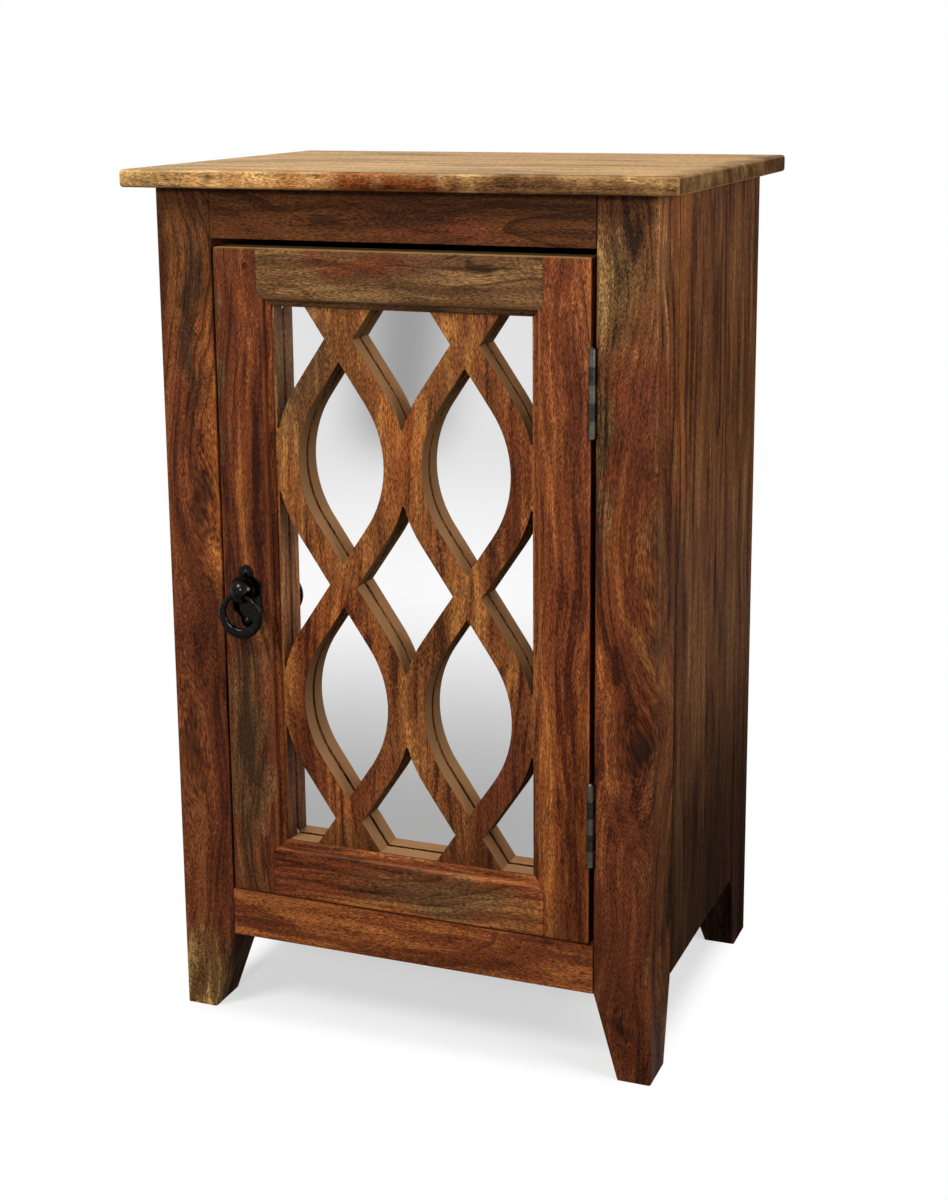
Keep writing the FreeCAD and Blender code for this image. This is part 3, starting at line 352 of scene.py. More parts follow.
def sheesham_figure():
    """Node group: the colour, height and roughness of sheesham at a place in the trunk.

    Bands follow the distance from the pith, and streaks, flecks and pores are noise drawn out
    along the grain; all of them bend together where slow noise bends the grain.
    """
    grain = bpy.context.scene.table_grain
    tree = bpy.data.node_groups.new("sheesham_figure", "ShaderNodeTree")
    for name, kind in (("Place", "Vector"), ("Wildness", "Float"), ("Dark", "Color"), ("Mid", "Color"),
                       ("Pale", "Color"), ("Pores", "Float")):
        tree.interface.new_socket(name, in_out="INPUT", socket_type="NodeSocket" + kind)
    for name, kind in (("Color", "Color"), ("Height", "Float"), ("Roughness", "Float")):
        tree.interface.new_socket(name, in_out="OUTPUT", socket_type="NodeSocket" + kind)
    given = add(tree, "NodeGroupInput").outputs

    # the grain wanders slowly, and wobbles a little
    flow = given["Place"]
    for waves, share in WAVES:
        slow = add(tree, "VectorMath MULTIPLY", given["Place"], waves)
        drift = add(tree, "TexNoise", {"Vector": slow, "Scale": 1.0, "Detail": 1.0})
        centred = add(tree, "VectorMath SUBTRACT", drift.outputs["Color"], (0.5, 0.5, 0.5))
        wild = add(tree, "Math MULTIPLY", given["Wildness"], grain.wander * share)
        bent = add(tree, "VectorMath SCALE", centred, wild)
        flow = add(tree, "VectorMath ADD", flow, bent)

    def drawn_out(wide, long, detail, roughness=0.5):
        """Noise whose marks are so wide, and so long along the grain."""
        scales = (noise_scale(wide), noise_scale(wide), noise_scale(long))
        place = add(tree, "VectorMath MULTIPLY", flow, scales)
        return add(tree, "TexNoise", {"Vector": place, "Scale": 1.0, "Detail": detail,
                                      "Roughness": roughness})

    across = add(tree, "VectorMath MULTIPLY", flow, (1, 1, 0))
    ring = add(tree, "VectorMath LENGTH", across)
    along = add(tree, "SeparateXYZ", flow).outputs["Z"]
    banded = add(tree, "Math MULTIPLY", ring, noise_scale(grain.band))
    slowly = add(tree, "Math MULTIPLY", along, BAND_DRIFT)
    spot = add(tree, "CombineXYZ", banded, slowly)
    bands = add(tree, "TexNoise", {"Vector": spot, "Scale": 1.0, "Detail": 3.0, "Roughness": 0.6},
                noise_dimensions="2D")
    streaks = drawn_out(grain.streak_wide, grain.streak_long, 4.0, 0.62)
    flecks = drawn_out(grain.fleck_wide, grain.fleck_long, 1.0)
    pores = drawn_out(grain.pore_wide, grain.pore_long, 1.0)
    stains = drawn_out(STAIN_WIDE, STAIN_LONG, 2.0)

    # colour: bands, streaks and flecks together choose between the three tones
    streaky = add(tree, "Math MULTIPLY_ADD", streaks, STREAK_SHARE, bands)
    frayed = add(tree, "Math MULTIPLY_ADD", flecks, grain.fray, streaky)
    middle = 0.5 * (1 + STREAK_SHARE + grain.fray)
    darker = add(tree, "MapRange SMOOTHSTEP", frayed, middle - 0.26, middle)
    paler = add(tree, "MapRange SMOOTHSTEP", frayed, middle + 0.02, middle + 0.28)
    shade = add(tree, "Mix RGBA", darker, given["Dark"], given["Mid"])
    tint = add(tree, "Mix RGBA", paler, shade, given["Pale"])

    # thin dark lines where a ring ends, in places
    counted = add(tree, "Math MULTIPLY", ring, 1 / grain.line)
    uneven = add(tree, "Math MULTIPLY_ADD", bands, RING_UNEVEN, counted)
    tooth = add(tree, "Math FRACT", uneven)
    edge = add(tree, "MapRange SMOOTHSTEP", tooth, 0.6)
    shown = add(tree, "MapRange", stains, 0.45, 0.6, 0, 0.6)
    line_dark = add(tree, "Math MULTIPLY", edge, shown)

    # brightness: silky flecks, soft dark stains, ring lines and pores
    silk = add(tree, "MapRange", flecks, 0.28, 0.72, 0.48, 1.55)
    clouds = add(tree, "MapRange SMOOTHSTEP", stains, 0.34, 0.52, 0.62, 1.04)
    pore_dark = add(tree, "MapRange SMOOTHSTEP", pores, 0.54, 0.64)
    pore_shown = add(tree, "Math MULTIPLY", pore_dark, given["Pores"])
    bright = add(tree, "Math MULTIPLY", silk, clouds)
    for dark in (line_dark, pore_shown):
        kept = add(tree, "Math SUBTRACT", 1.0, dark)
        bright = add(tree, "Math MULTIPLY", bright, kept)
    final = add(tree, "VectorMath SCALE", tint, bright)

    pore_sink = add(tree, "Math MULTIPLY", pore_dark, -PORE_DEPTH)
    relief = add(tree, "Math MULTIPLY_ADD", flecks, FIBRE_HEIGHT, pore_sink)
    rough = add(tree, "MapRange", pores, 0.35, 0.65, grain.gloss - 0.06, grain.gloss + 0.14)
    add(tree, "NodeGroupOutput", {"Color": final, "Height": relief, "Roughness": rough})
    return tree


def spot_distance(tree, coordinates, middle, radii):
    """Distance from a place, in units of its three radii."""
    offset = add(tree, "VectorMath SUBTRACT", coordinates, middle)
    scaled = add(tree, "VectorMath MULTIPLY", offset, [1 / radius for radius in radii])
    return add(tree, "VectorMath LENGTH", scaled)


def timber_tones(kind):
    """The dark, middle and pale colour of one kind of wood."""
    timber = bpy.context.scene.table_timber
    return [getattr(timber, "%s_%s" % (kind, tone)) for tone, part in TONES]


def facing(tree):
    """How squarely a place faces along X, Y and Z, one way or the other."""
    normal = add(tree, "VectorMath ABSOLUTE", add(tree, "TexCoord").outputs["Normal"])
    return add(tree, "SeparateXYZ", normal).outputs


def arris(tree):
    """How far a place is on a rounded edge: there no part of the normal comes near 1."""
    parts = facing(tree)
    larger = add(tree, "Math MAXIMUM", parts["X"], parts["Y"])
    largest = add(tree, "Math MAXIMUM", larger, parts["Z"])
    return add(tree, "MapRange", largest, 0.97, 0.82, 0, bpy.context.scene.table_grain.edge_wear_and_highlight)


def zoned_tones(tree, board, torn):
    """The board's three colours, with its patches of other kinds of wood blended in."""
    colours = timber_tones(board.tones)
    for zone in board.zones:
        distance = spot_distance(tree, torn, zone.middle, zone.radii)
        inside = add(tree, "MapRange SMOOTHSTEP", distance, 1.5, 0.3)
        pairs = zip(colours, timber_tones(zone.tones))
        colours = [add(tree, "Mix RGBA", inside, outer, inner) for outer, inner in pairs]
    return colours


def parted_grain(tree, board, place):
    """Places drawn in toward each knot by a bell curve of the distance, so the grain parts round it."""
    parted = place
    for knot in board.knots:
        distance = spot_distance(tree, place, knot.middle, knot.radii)
        square = add(tree, "Math MULTIPLY", distance, distance)
        minus = add(tree, "Math MULTIPLY", square, -1.0)
        swell = add(tree, "Math EXPONENT", minus)
        draw = add(tree, "Math MULTIPLY", swell, -knot.spread)
        offset = add(tree, "VectorMath SUBTRACT", place, knot.middle)
        moved = add(tree, "VectorMath SCALE", offset, draw)
        parted = add(tree, "VectorMath ADD", parted, moved)
    return parted


def worn_and_lit_paint(tree, name, board, paint, ragged, pale):
    """Darken the cut ends; paint door tops paler as painted light, rounded edges as wear and painted
    highlight.
    """
    soaked = add(tree, "MapRange", facing(tree)[board.grain], 0.6, 0.9, 1.0, END_GRAIN)
    paint = add(tree, "VectorMath SCALE", paint, soaked)
    # painted light: the upward faces are painted paler, as if lit through the gap above the door
    if name in PAINTED_LIT_TOPS:
        level = add(tree, "MapRange", facing(tree)["Z"], 0.8, 0.95)
        paint = add(tree, "Mix RGBA", level, paint, timber_tones("blond")[1])
    # partly wear, partly painted highlight: the rounded edges are painted paler, broken up by noise
    if name.startswith(WORN_AND_HIGHLIT_PIECES):
        rubbed = add(tree, "MapRange", ragged, 0.3, 0.6)
        worn = add(tree, "Math MULTIPLY", arris(tree), rubbed)
        paint = add(tree, "Mix RGBA", worn, paint, pale)
    return paint


def marked_paint(tree, board, paint, place, torn):
    """Darken the knots' middles and the hairlines where joints show."""
    dark = bpy.context.scene.table_timber.knot
    for knot in board.knots:
        core = spot_distance(tree, torn, knot.middle, [radius * KNOT_CORE for radius in knot.radii])
        inside = add(tree, "MapRange SMOOTHSTEP", core, 1.8, 0.2, 0, 0.7)
        paint = add(tree, "Mix RGBA", inside, paint, dark)
    parts = add(tree, "SeparateXYZ", place).outputs
    for axis, plane in board.seams:
        gap = add(tree, "Math SUBTRACT", parts[axis], plane)
        away = add(tree, "Math ABSOLUTE", gap)
        inside = add(tree, "MapRange", away, SEAM_HALF * 2.2, SEAM_HALF, 0, 0.8)
        paint = add(tree, "Mix RGBA", inside, paint, dark)
    return paint


def board_material(name, board, figure, number, lacquered):
    """Sheesham (Indian rosewood), planed, stained and brushed with a thin satin lacquer.

    It gives the eye streaming dark and pale bands with short dark pore marks, and a soft sheen.
    """
    low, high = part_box(name)
    middle = Euler(GRAIN_TURNS[board.grain]).to_matrix() @ ((low + high) / 2)
    pith = Vector((board.pith[0] * MM, board.pith[1] * MM, -number * BOARD_STEP))
    material, tree, shader, place = new_material("stained_sheesham_" + name)
    ragged = add(tree, "TexNoise", {"Vector": place, "Scale": noise_scale(TEAR_MARK), "Detail": 4.0})
    stray = add(tree, "VectorMath SUBTRACT", ragged.outputs["Color"], (0.5, 0.5, 0.5))
    torn = add(tree, "VectorMath MULTIPLY_ADD", stray, (TEAR, TEAR, TEAR), place)
    colours = zoned_tones(tree, board, torn)
    trunk = add(tree, "Mapping", {"Vector": parted_grain(tree, board, place), "Location": -middle - pith,
                                  "Rotation": GRAIN_TURNS[board.grain]})
    pores = PORES if lacquered else INNER_PORES
    wood = add(tree, "Group", trunk, board.wildness, *colours, pores, node_tree=figure).outputs
    paint = worn_and_lit_paint(tree, name, board, wood["Color"], ragged, colours[2])
    paint = marked_paint(tree, board, paint, place, torn)
    rough = wood["Roughness"]
    sheen = TOP_SHEEN if name.startswith("top_board_") else 1.0
    if not lacquered:
        rough = add(tree, "Math ADD", rough, INNER_ROUGH)
        sheen = INNER_SHEEN
    bump = add(tree, "Bump", {"Height": wood["Height"], "Distance": 1.0, "Strength": 0.5})
    fill(tree, shader, {"Base Color": paint, "Roughness": rough, "Normal": bump,
                        "Specular IOR Level": bpy.context.scene.table_grain.specular * sheen})
    return material


# where joints show on the front
LEG_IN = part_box("front_leg_right")[0].x
STILE_IN_LEFT, STILE_IN_RIGHT = -129 * MM, 126.5 * MM
LEG_SEAMS = (("X", -LEG_IN), ("X", LEG_IN))
STILE_SEAMS = (("X", STILE_IN_LEFT), ("X", STILE_IN_RIGHT))

BOARDS = {
    "top_board_front": Board("X", (30, 70), "honey", (
        Zone((-0.205, -0.184, 0.748), (0.045, 0.03, 0.02), "blond"),
        Zone((0.02, -0.184, 0.743), (0.18, 0.014, 0.03), "russet"),
        Zone((0.15, -0.184, 0.743), (0.1, 0.014, 0.03), "olive"),
        Zone((0.262, -0.1, 0.752), (0.03, 0.3, 0.05), "umber")), (
        Knot((-0.155, -0.181, 0.757), (0.022, 0.03, 0.016), 0.7),), wildness=0.35),
    "top_board_middle": Board("X", (-60, 95), "honey", (
        Zone((0.262, 0, 0.752), (0.03, 0.4, 0.05), "umber"),), wildness=0.3),
    "top_board_back": Board("X", (20, -120), "honey", (
        Zone((0.262, 0.12, 0.752), (0.03, 0.4, 0.05), "umber"),), wildness=0.3),
    "front_leg_left": Board("Z", (66, 40), "heart", (
        Zone((-0.174, -0.159, 0.5), (0.012, 0.05, 0.17), "russet"),
        Zone((-0.2, -0.159, 0.7), (0.05, 0.06, 0.09), "shade"),
        Zone((-0.191, -0.159, 0.64), (0.009, 0.05, 0.09), "dusk"),
        Zone((-0.205, -0.159, 0.02), (0.05, 0.06, 0.05), "golden")), (
        Knot((-0.185, -0.159, 0.475), (0.03, 0.06, 0.1), 0.8),
        Knot((-0.21, -0.159, 0.25), (0.03, 0.06, 0.12), 0.7)), wildness=0.8),
    "front_leg_right": Board("Z", (62, 45), "amber", (
        Zone((0.187, -0.159, 0.68), (0.045, 0.06, 0.065), "golden"),
        Zone((0.174, -0.159, 0.54), (0.007, 0.05, 0.09), "golden"),
        Zone((0.207, -0.159, 0.58), (0.018, 0.05, 0.08), "heart"),
        Zone((0.2, -0.159, 0.12), (0.06, 0.06, 0.18), "heart"),
        Zone((0.236, -0.12, 0.45), (0.02, 0.1, 0.6), "umber"),
        # painted shade: the leg's side face darker towards the floor
        Zone((0.238, -0.12, 0.08), (0.02, 0.08, 0.18), "dusk")), (
        Knot((0.245, -0.159, 0.44), (0.06, 0.08, 0.14), 0.75),
        Knot((0.2072, -0.1585, 0.298), (0.026, 0.08, 0.05), 0.85),
        Knot((0.196, -0.1585, 0.052), (0.02, 0.08, 0.035), 0.7)), wildness=0.9),
    "back_leg_left": Board("Z", (-40, 70), "heart"),
    "back_leg_right": Board("Z", (-55, -60), "umber", (
        # painted shade: the leg darker towards the floor
        Zone((0.21, 0.14, 0.08), (0.06, 0.08, 0.2), "dusk"),), wildness=0.3),
    # its dark, even tone is partly painted shade from the top's overhang
    "front_top_rail": Board("X", (18, 50), "shade", (
        Zone((0.046, -0.1585, 0.713), (0.05, 0.05, 0.009), "heart"),), (
        Knot((-0.06, -0.1585, 0.723), (0.05, 0.06, 0.016), 0.6),), LEG_SEAMS, 0.4),
    "front_apron": Board("X", (-20, 60), "amber", seams=LEG_SEAMS, wildness=0.4),
    "back_top_rail": Board("X", (15, -55), "heart", seams=LEG_SEAMS, wildness=0.4),
    "back_bottom_rail": Board("X", (-25, 60), "heart", seams=LEG_SEAMS, wildness=0.4),
    "side_board_left_front": Board("Z", (70, 30), "umber", wildness=0.2),
    "side_board_left_back": Board("Z", (-80, -20), "umber", wildness=0.2),
    "side_board_right_front": Board("Z", (-75, 25), "umber", (
        Zone((0.2215, -0.09, 0.62), (0.05, 0.03, 0.17), "tawny"),
        # painted shade: the right side darker towards the floor
        Zone((0.2215, -0.05, 0.1), (0.06, 0.2, 0.17), "dusk")), (
        Knot((0.2215, -0.106, 0.482), (0.05, 0.008, 0.02), 0.6),), wildness=0.2),
    "side_board_right_back": Board("Z", (-85, -35), "umber", (
        # painted shade: the right side darker towards the floor
        Zone((0.2215, 0.05, 0.1), (0.06, 0.2, 0.19), "dusk"),), wildness=0.2),
    "door_top_rail": Board("X", (22, 65), "olive", (
        Zone((-0.035, -0.1585, 0.686), (0.05, 0.05, 0.012), "heart"),), (
        Knot((0.0757, -0.1585, 0.689), (0.03, 0.06, 0.016), 0.75),), STILE_SEAMS, 0.35),
    "door_bottom_rail": Board("X", (-18, 70), "amber", (
        Zone((0.03, -0.1585, 0.14), (0.08, 0.05, 0.02), "olive"),), seams=STILE_SEAMS, wildness=0.4),
    "door_latch_stile": Board("Z", (45, 45), "heart", (
        Zone((-0.169, -0.158, 0.62), (0.006, 0.05, 0.09), "olive"),
        Zone((-0.14, -0.159, 0.5), (0.012, 0.05, 0.2), "amber"),
        Zone((-0.15, -0.159, 0.26), (0.02, 0.05, 0.13), "olive"))),
    "door_hinge_stile": Board("Z", (-48, 48), "amber", (
        Zone((0.158, -0.159, 0.6), (0.01, 0.05, 0.15), "heart"),
        Zone((0.15, -0.159, 0.25), (0.03, 0.05, 0.12), "russet"))),
    "fretwork_panel": Board("Z", (-30, 48), "tawny", (
        Zone((-0.1, -0.15, 0.6), (0.03, 0.05, 0.07), "olive"),
        Zone((0.0, -0.15, 0.56), (0.02, 0.05, 0.09), "russet"),
        Zone((0.1, -0.15, 0.5), (0.03, 0.05, 0.16), "amber"),
        Zone((-0.07, -0.15, 0.34), (0.05, 0.05, 0.08), "russet"),
        Zone((-0.08, -0.15, 0.24), (0.06, 0.05, 0.09), "amber"),
        Zone((0.09, -0.15, 0.24), (0.05, 0.05, 0.09), "heart"),
        Zone((0.0, -0.15, 0.15), (0.3, 0.05, 0.055), "shade"))),
    "bead_left": Board("Z", (30, 40), "amber"),
    "bead_right": Board("Z", (-30, 40), "amber"),
    "bead_top": Board("X", (10, 50), "olive"),
    "bead_bottom": Board("X", (10, 45), "amber"),
    "stile_plug": Board("Y", (3, 2), "heart"),
}
INNER_BOARDS = {
    "back_panel": Board("Z", (60, 90), "inner"),
    "floor_panel": Board("X", (40, 80), "inner"),
    "shelf": Board("X", (-45, 85), "inner"),
    "mirror_backing": Board("Z", (80, 70), "inner"),
}
INNER_BOARDS.update({"%s_cleat_%s" % (level, side): Board("Y", (20, 35), "inner")
                     for level in ("floor", "shelf", "top") for side in ("left", "right")})

BORDER_AT = 117 * MM       # the straight walls of the fretwork's border lie farther out than this
BORDER_EDGE, SAW_MARK = 3 * MM, 0.3 * MM


def saw_walls(material, kind):
    """Lighten the walls of a pierced board, where the saw has cut through the stain.

    The wall's own normal tells it from the face: it has no part along Y.  Walls that look up are painted
    lighter and walls that look down darker, as painted light and shade.
    """
    tree = material.node_tree
    shader = next(node for node in tree.nodes if node.type == "BSDF_PRINCIPLED")
    face = shader.inputs["Base Color"].links[0].from_socket
    seen = add(tree, "TexCoord").outputs
    sawn = add(tree, "MapRange", facing(tree)["Y"], 0.6, 0.3)
    across = add(tree, "SeparateXYZ", seen["Object"])
    aside = add(tree, "Math ABSOLUTE", across)
    inward = add(tree, "MapRange", aside, BORDER_AT, BORDER_AT - BORDER_EDGE)
    wall = add(tree, "Math MULTIPLY", sawn, inward)
    saw_marks = add(tree, "TexNoise", {"Vector": seen["Object"], "Scale": noise_scale(SAW_MARK),
                                       "Detail": 1.0})
    shade = add(tree, "MapRange", saw_marks, 0, 1, 0.85, 1.1)
    # painted light and shade: the more a wall faces up the lighter it is painted, facing down darker
    upward = add(tree, "SeparateXYZ", seen["Normal"]).outputs["Z"]
    kept = add(tree, "MapRange", upward, -0.5, 0.6, 0.6, 1.45)
    lit = add(tree, "Math MULTIPLY", shade, kept)
    bare = add(tree, "VectorMath SCALE", timber_tones(kind)[1][:3], lit)
    matt = add(tree, "MapRange", wall, 0, 1, bpy.context.scene.table_grain.specular, 0.0)
    mixed = add(tree, "Mix RGBA", wall, face, bare)
    fill(tree, shader, {"Base Color": mixed, "Specular IOR Level": matt})


class TABLE_OT_dress_boards(bpy.types.Operator):
    """Give every board, rail and leg its own stretch of stained sheesham"""
    bl_idname = "side_table.dress_boards"
    bl_label = "Dress Boards"

    def execute(self, context):
        figure = sheesham_figure()
        pieces = [(name, board, True) for name, board in BOARDS.items()]
        pieces += [(name, board, False) for name, board in INNER_BOARDS.items()]
        for number, (name, board, lacquered) in enumerate(pieces):
            dress(name, board_material(name, board, figure, number, lacquered))
        saw_walls(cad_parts["fretwork_panel"].data.materials[0], "sawn")
        return {"FINISHED"}


# ---------- mirror

AGED_PATCH = 25 * MM


def silvered_glass():
    """Float glass with a silver coat behind it.

    It gives the eye a clean image of the room, a touch dimmer where the silver has aged.
    """
    material, tree, shader, place = new_material("silvered_float_glass")
    age = add(tree, "TexNoise", {"Vector": place, "Scale": noise_scale(AGED_PATCH), "Detail": 2.0})
    tint = mottled(tree, bpy.context.scene.table_hardware.silver, age, 0.96)
    haze = add(tree, "MapRange", age, 0, 1, 0, 0.03)
    fill(tree, shader, {"Base Color": tint, "Roughness": haze, "Metallic": 1.0})
    return material


SILVER_DEPTH = 2 * MM      # where 3 mm of glass makes its silver back appear
MIRROR_RIM = 9 * MM        # hidden behind the lattice board's edge, at the glass's full thickness
MIRROR_ARRIS = 0.5 * MM
MIRROR_COLUMNS = 96


def rectangle_ring(half_wide, half_high, columns):
    """Points round a rectangle, evenly by angle: the unit circle pushed out to the rectangle."""
    angle = round_angles(columns) + math.pi / columns
    across, up = np.cos(angle), np.sin(angle)
    push = 1 / np.maximum(np.abs(across), np.abs(up))
    return half_wide * across * push, half_high * up * push


class TABLE_OT_make_mirror(bpy.types.Operator):
    """Make the mirror pane, its silver set back behind a full-thickness rim"""
    bl_idname = "side_table.make_mirror"
    bl_label = "Make Mirror"

    def execute(self, context):
        low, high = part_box("mirror")
        middle = (low + high) / 2
        half_wide, half_high = (high.x - low.x) / 2, (high.z - low.z) / 2
        silver = low.y + SILVER_DEPTH
        # inset from the pane's edge, and depth, from the front's middle round to the back's middle
        profile = [(None, silver), (MIRROR_RIM + MIRROR_ARRIS, silver), (MIRROR_RIM, low.y),
                   (MIRROR_ARRIS, low.y), (0, low.y + MIRROR_ARRIS), (0, high.y - MIRROR_ARRIS),
                   (MIRROR_ARRIS, high.y), (None, high.y)]
        rows = []
        for inset, depth in profile:
            across = up = np.zeros(MIRROR_COLUMNS)
            if inset is not None:
                across, up = rectangle_ring(half_wide - inset, half_high - inset, MIRROR_COLUMNS)
            rows.append(np.stack([across + middle.x, np.full_like(up, depth), up + middle.z], axis=1))
        pane = closed_piece("mirror_pane", "door", silvered_glass(), [np.stack(rows)])
        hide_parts("mirror")
        return {"FINISHED"}


# ---------- iron, steel and plastic

# widths of the metals' and the plastic's marks, some coarser than real ones so that they show
RUB_MARK, HAMMER_MARK, PATINA_MARK = 2.3 * MM, 3 * MM, 3.75 * MM
ZINC_CRYSTAL, SPARK_MARK = 1.4 * MM, 0.33 * MM
HAMMER_RELIEF, PATINA_RELIEF, SPARK_RELIEF = 0.25 * MM, 0.08 * MM, 0.05 * MM


def blackened_iron():
    """Forged iron, blackened in oil and waxed.

    It gives the eye a black skin with broad soft highlights, and a little grey on the high spots.
    """
    hardware = bpy.context.scene.table_hardware
    material, tree, shader, place = new_material("blackened_forged_iron")
    rub = add(tree, "TexNoise", {"Vector": place, "Scale": noise_scale(RUB_MARK), "Detail": 4.0})
    worn = add(tree, "MapRange", rub, 0.56, 0.78, 0, 0.6)
    skin = add(tree, "Mix RGBA", worn, hardware.iron, hardware.iron_worn)
    rough = add(tree, "MapRange", rub, 0, 1, 0.14, 0.3)
    dents = add(tree, "TexVoronoi", {"Vector": place, "Scale": 1 / HAMMER_MARK, "Smoothness": 1.0},
                feature="SMOOTH_F1")
    fill(tree, shader, {"Base Color": skin, "Roughness": rough, "Metallic": 1.0, "Coat Weight": 0.15,
                        "Coat Roughness": 0.12, "Normal": raised(tree, dents, HAMMER_RELIEF, 0.6)})
    return material


def antique_steel(name, bright):
    """Rolled steel hinge leaves, browned and rubbed back.

    It gives the eye a dull dark metal; the door's leaves are a darker copy, painted shade, so the knuckles
    part.
    """
    hardware = bpy.context.scene.table_hardware
    material, tree, shader, place = new_material(name)
    patina = add(tree, "TexNoise", {"Vector": place, "Scale": noise_scale(PATINA_MARK), "Detail": 5.0,
                                    "Roughness": 0.65})
    mask = add(tree, "MapRange", patina, 0.3, 0.8)
    mixed = add(tree, "Mix RGBA", mask, hardware.hinge, hardware.hinge_dark)
    skin = add(tree, "VectorMath SCALE", mixed, bright)
    rough = add(tree, "MapRange", mask, 0, 1, 0.2, 0.4)
    fill(tree, shader, {"Base Color": skin, "Roughness": rough, "Metallic": 1.0,
                        "Normal": raised(tree, patina, PATINA_RELIEF, 0.5)})
    return material


def zinc_steel():
    """Steel, zinc-plated and bright.

    It gives the eye small clean grey highlights with a faint crystal mottling.
    """
    material, tree, shader, place = new_material("zinc_plated_steel")
    crystals = add(tree, "TexVoronoi", {"Vector": place, "Scale": 1 / ZINC_CRYSTAL})
    skin = mottled(tree, bpy.context.scene.table_hardware.screw, crystals, 0.82)
    rough = add(tree, "MapRange", crystals, 0, 1, 0.24, 0.4)
    fill(tree, shader, {"Base Color": skin, "Roughness": rough, "Metallic": 1.0})
    return material


def moulded_abs():
    """ABS plastic, moulded brown.

    It gives the eye a fine spark-eroded texture and a soft highlight.
    """
    hardware = bpy.context.scene.table_hardware
    material, tree, shader, place = new_material("moulded_brown_abs")
    texture = add(tree, "TexNoise", {"Vector": place, "Scale": noise_scale(SPARK_MARK), "Detail": 1.0})
    skin = add(tree, "Mix RGBA", texture, hardware.plastic, hardware.plastic_high)
    fill(tree, shader, {"Base Color": skin, "Roughness": 0.45,
                        "Normal": raised(tree, texture, SPARK_RELIEF, 0.6)})
    return material


HINGES = ("upper", "lower")


class TABLE_OT_dress_metal(bpy.types.Operator):
    """Give the hinges, catch, strike, nut, plate and boss their metal or plastic"""
    bl_idname = "side_table.dress_metal"
    bl_label = "Dress Metal"

    def execute(self, context):
        zinc, iron = zinc_steel(), blackened_iron()
        bright_steel = antique_steel("antique_steel_rubbed", 0.65)
        # painted shade: a darker copy of the same steel for the door's leaves, so alternate knuckles look
        # shaded
        shaded_steel = antique_steel("antique_steel_browned", 0.25)
        for hinge in HINGES:
            dress(hinge + "_hinge_cabinet_leaf", bright_steel)
            dress(hinge + "_hinge_door_leaf", shaded_steel)
            dress(hinge + "_hinge_pin", bright_steel)
        for name in ("catch_magnet", "strike_plate", "pull_nut"):
            dress(name, zinc)
        for name in ("pull_backplate", "pull_boss"):
            dress(name, iron)
        dress("catch_housing", moulded_abs())
        return {"FINISHED"}


# ---------- ring and nails of the pull

RING_HOLE = 13.9 * MM      # radius of the finger hole
RING_TOP = 4.4 * MM        # width of the rim at the top, where it is slimmest
RING_SQUARENESS = 2.6      # exponent of the ring's section: 2 is an ellipse, more is squarer
RING_ROWS, RING_COLUMNS = 145, 28
NAIL_SHANK, NAIL_TAPER = 0.9 * MM, 2 * MM      # radius of the shank, and length of its point
DOME_ROWS, NAIL_COLUMNS = 9, 24


class TABLE_OT_make_ring(bpy.types.Operator):
    """Make the hammered ring of the pull, slim at the top and heavy at the bottom"""
    bl_idname = "side_table.make_ring"
    bl_label = "Make Ring"

    def execute(self, context):
        """A superellipse section is carried round the circle midway between the two rims.

        The hammer marks are products of sine waves round the ring and round its section.
        """
        low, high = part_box("pull_ring")
        middle = (low + high) / 2
        outer, half_thick = (high.z - low.z) / 2, (high.y - low.y) / 2
        hole_z = high.z - RING_TOP - RING_HOLE
        turn = np.linspace(0, 2 * math.pi, RING_ROWS)[:, None]
        section = round_angles(RING_COLUMNS)[None, :]
        # the outer rim seen from the hole's centre, at each angle from straight down
        drop = hole_z - middle.z
        outer_reach = drop * np.cos(turn) + np.sqrt(outer ** 2 - (drop * np.sin(turn)) ** 2)
        wide, thick = np.cos(section), np.sin(section)
        squash = np.abs(wide) ** RING_SQUARENESS + np.abs(thick) ** RING_SQUARENESS
        marks = 0.5 + 0.5 * np.sin(13 * turn + 2 * np.sin(3 * turn)) * np.cos(3 * section + 2 * turn)
        hammered = 1 - context.scene.table_pull.hammer / (RING_TOP / 2) * marks
        skin = squash ** (-1 / RING_SQUARENESS) * hammered
        reach = (outer_reach + RING_HOLE) / 2 + (outer_reach - RING_HOLE) / 2 * wide * skin
        x = middle.x + reach * np.sin(turn)
        y = middle.y + half_thick * thick * skin
        z = hole_z - reach * np.cos(turn)
        sheet = np.stack(np.broadcast_arrays(x, y, z), axis=2)
        iron = bpy.data.materials["blackened_forged_iron"]
        ring = closed_piece("pull_ring_forged", "ring", iron, [sheet])
        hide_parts("pull_ring")
        return {"FINISHED"}


def turned(radii, depths, spot, toward, angle):
    """Radii and depths (rows x angles, or rows x 1) turned about the line through spot."""
    first, second, third = axes_toward(toward)
    around = np.cos(angle)[:, None] * first + np.sin(angle)[:, None] * second
    return np.array(spot) + radii[..., None] * around + depths[..., None] * third


class TABLE_OT_make_nails(bpy.types.Operator):
    """Make the two domed nails that hold the pull's plate"""
    bl_idname = "side_table.make_nails"
    bl_label = "Make Nails"

    def execute(self, context):
        """The head is a flattened dome: its height falls with the square of the radius."""
        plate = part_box("pull_backplate")[0].y
        low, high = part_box("pull_nails")
        head = (high.x - low.x) / 2
        share = np.linspace(0, 1, DOME_ROWS)
        radii = np.append(head * share, (NAIL_SHANK, NAIL_SHANK, 0.0))[:, None]
        dome = -context.scene.table_pull.nail_dome * (1 - share ** 2)
        depths = np.append(dome, (0.0, high.y - plate - NAIL_TAPER, high.y - plate))[:, None]
        spots = [((low.x + high.x) / 2, plate, height) for height in (low.z + head, high.z - head)]
        sheets = [turned(radii, depths, spot, (0, 1, 0), round_angles(NAIL_COLUMNS)) for spot in spots]
        iron = bpy.data.materials["blackened_forged_iron"]
        nails = closed_piece("pull_nails_domed", "door", iron, sheets)
        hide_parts("pull_nails")
        return {"FINISHED"}


# ---------- screws

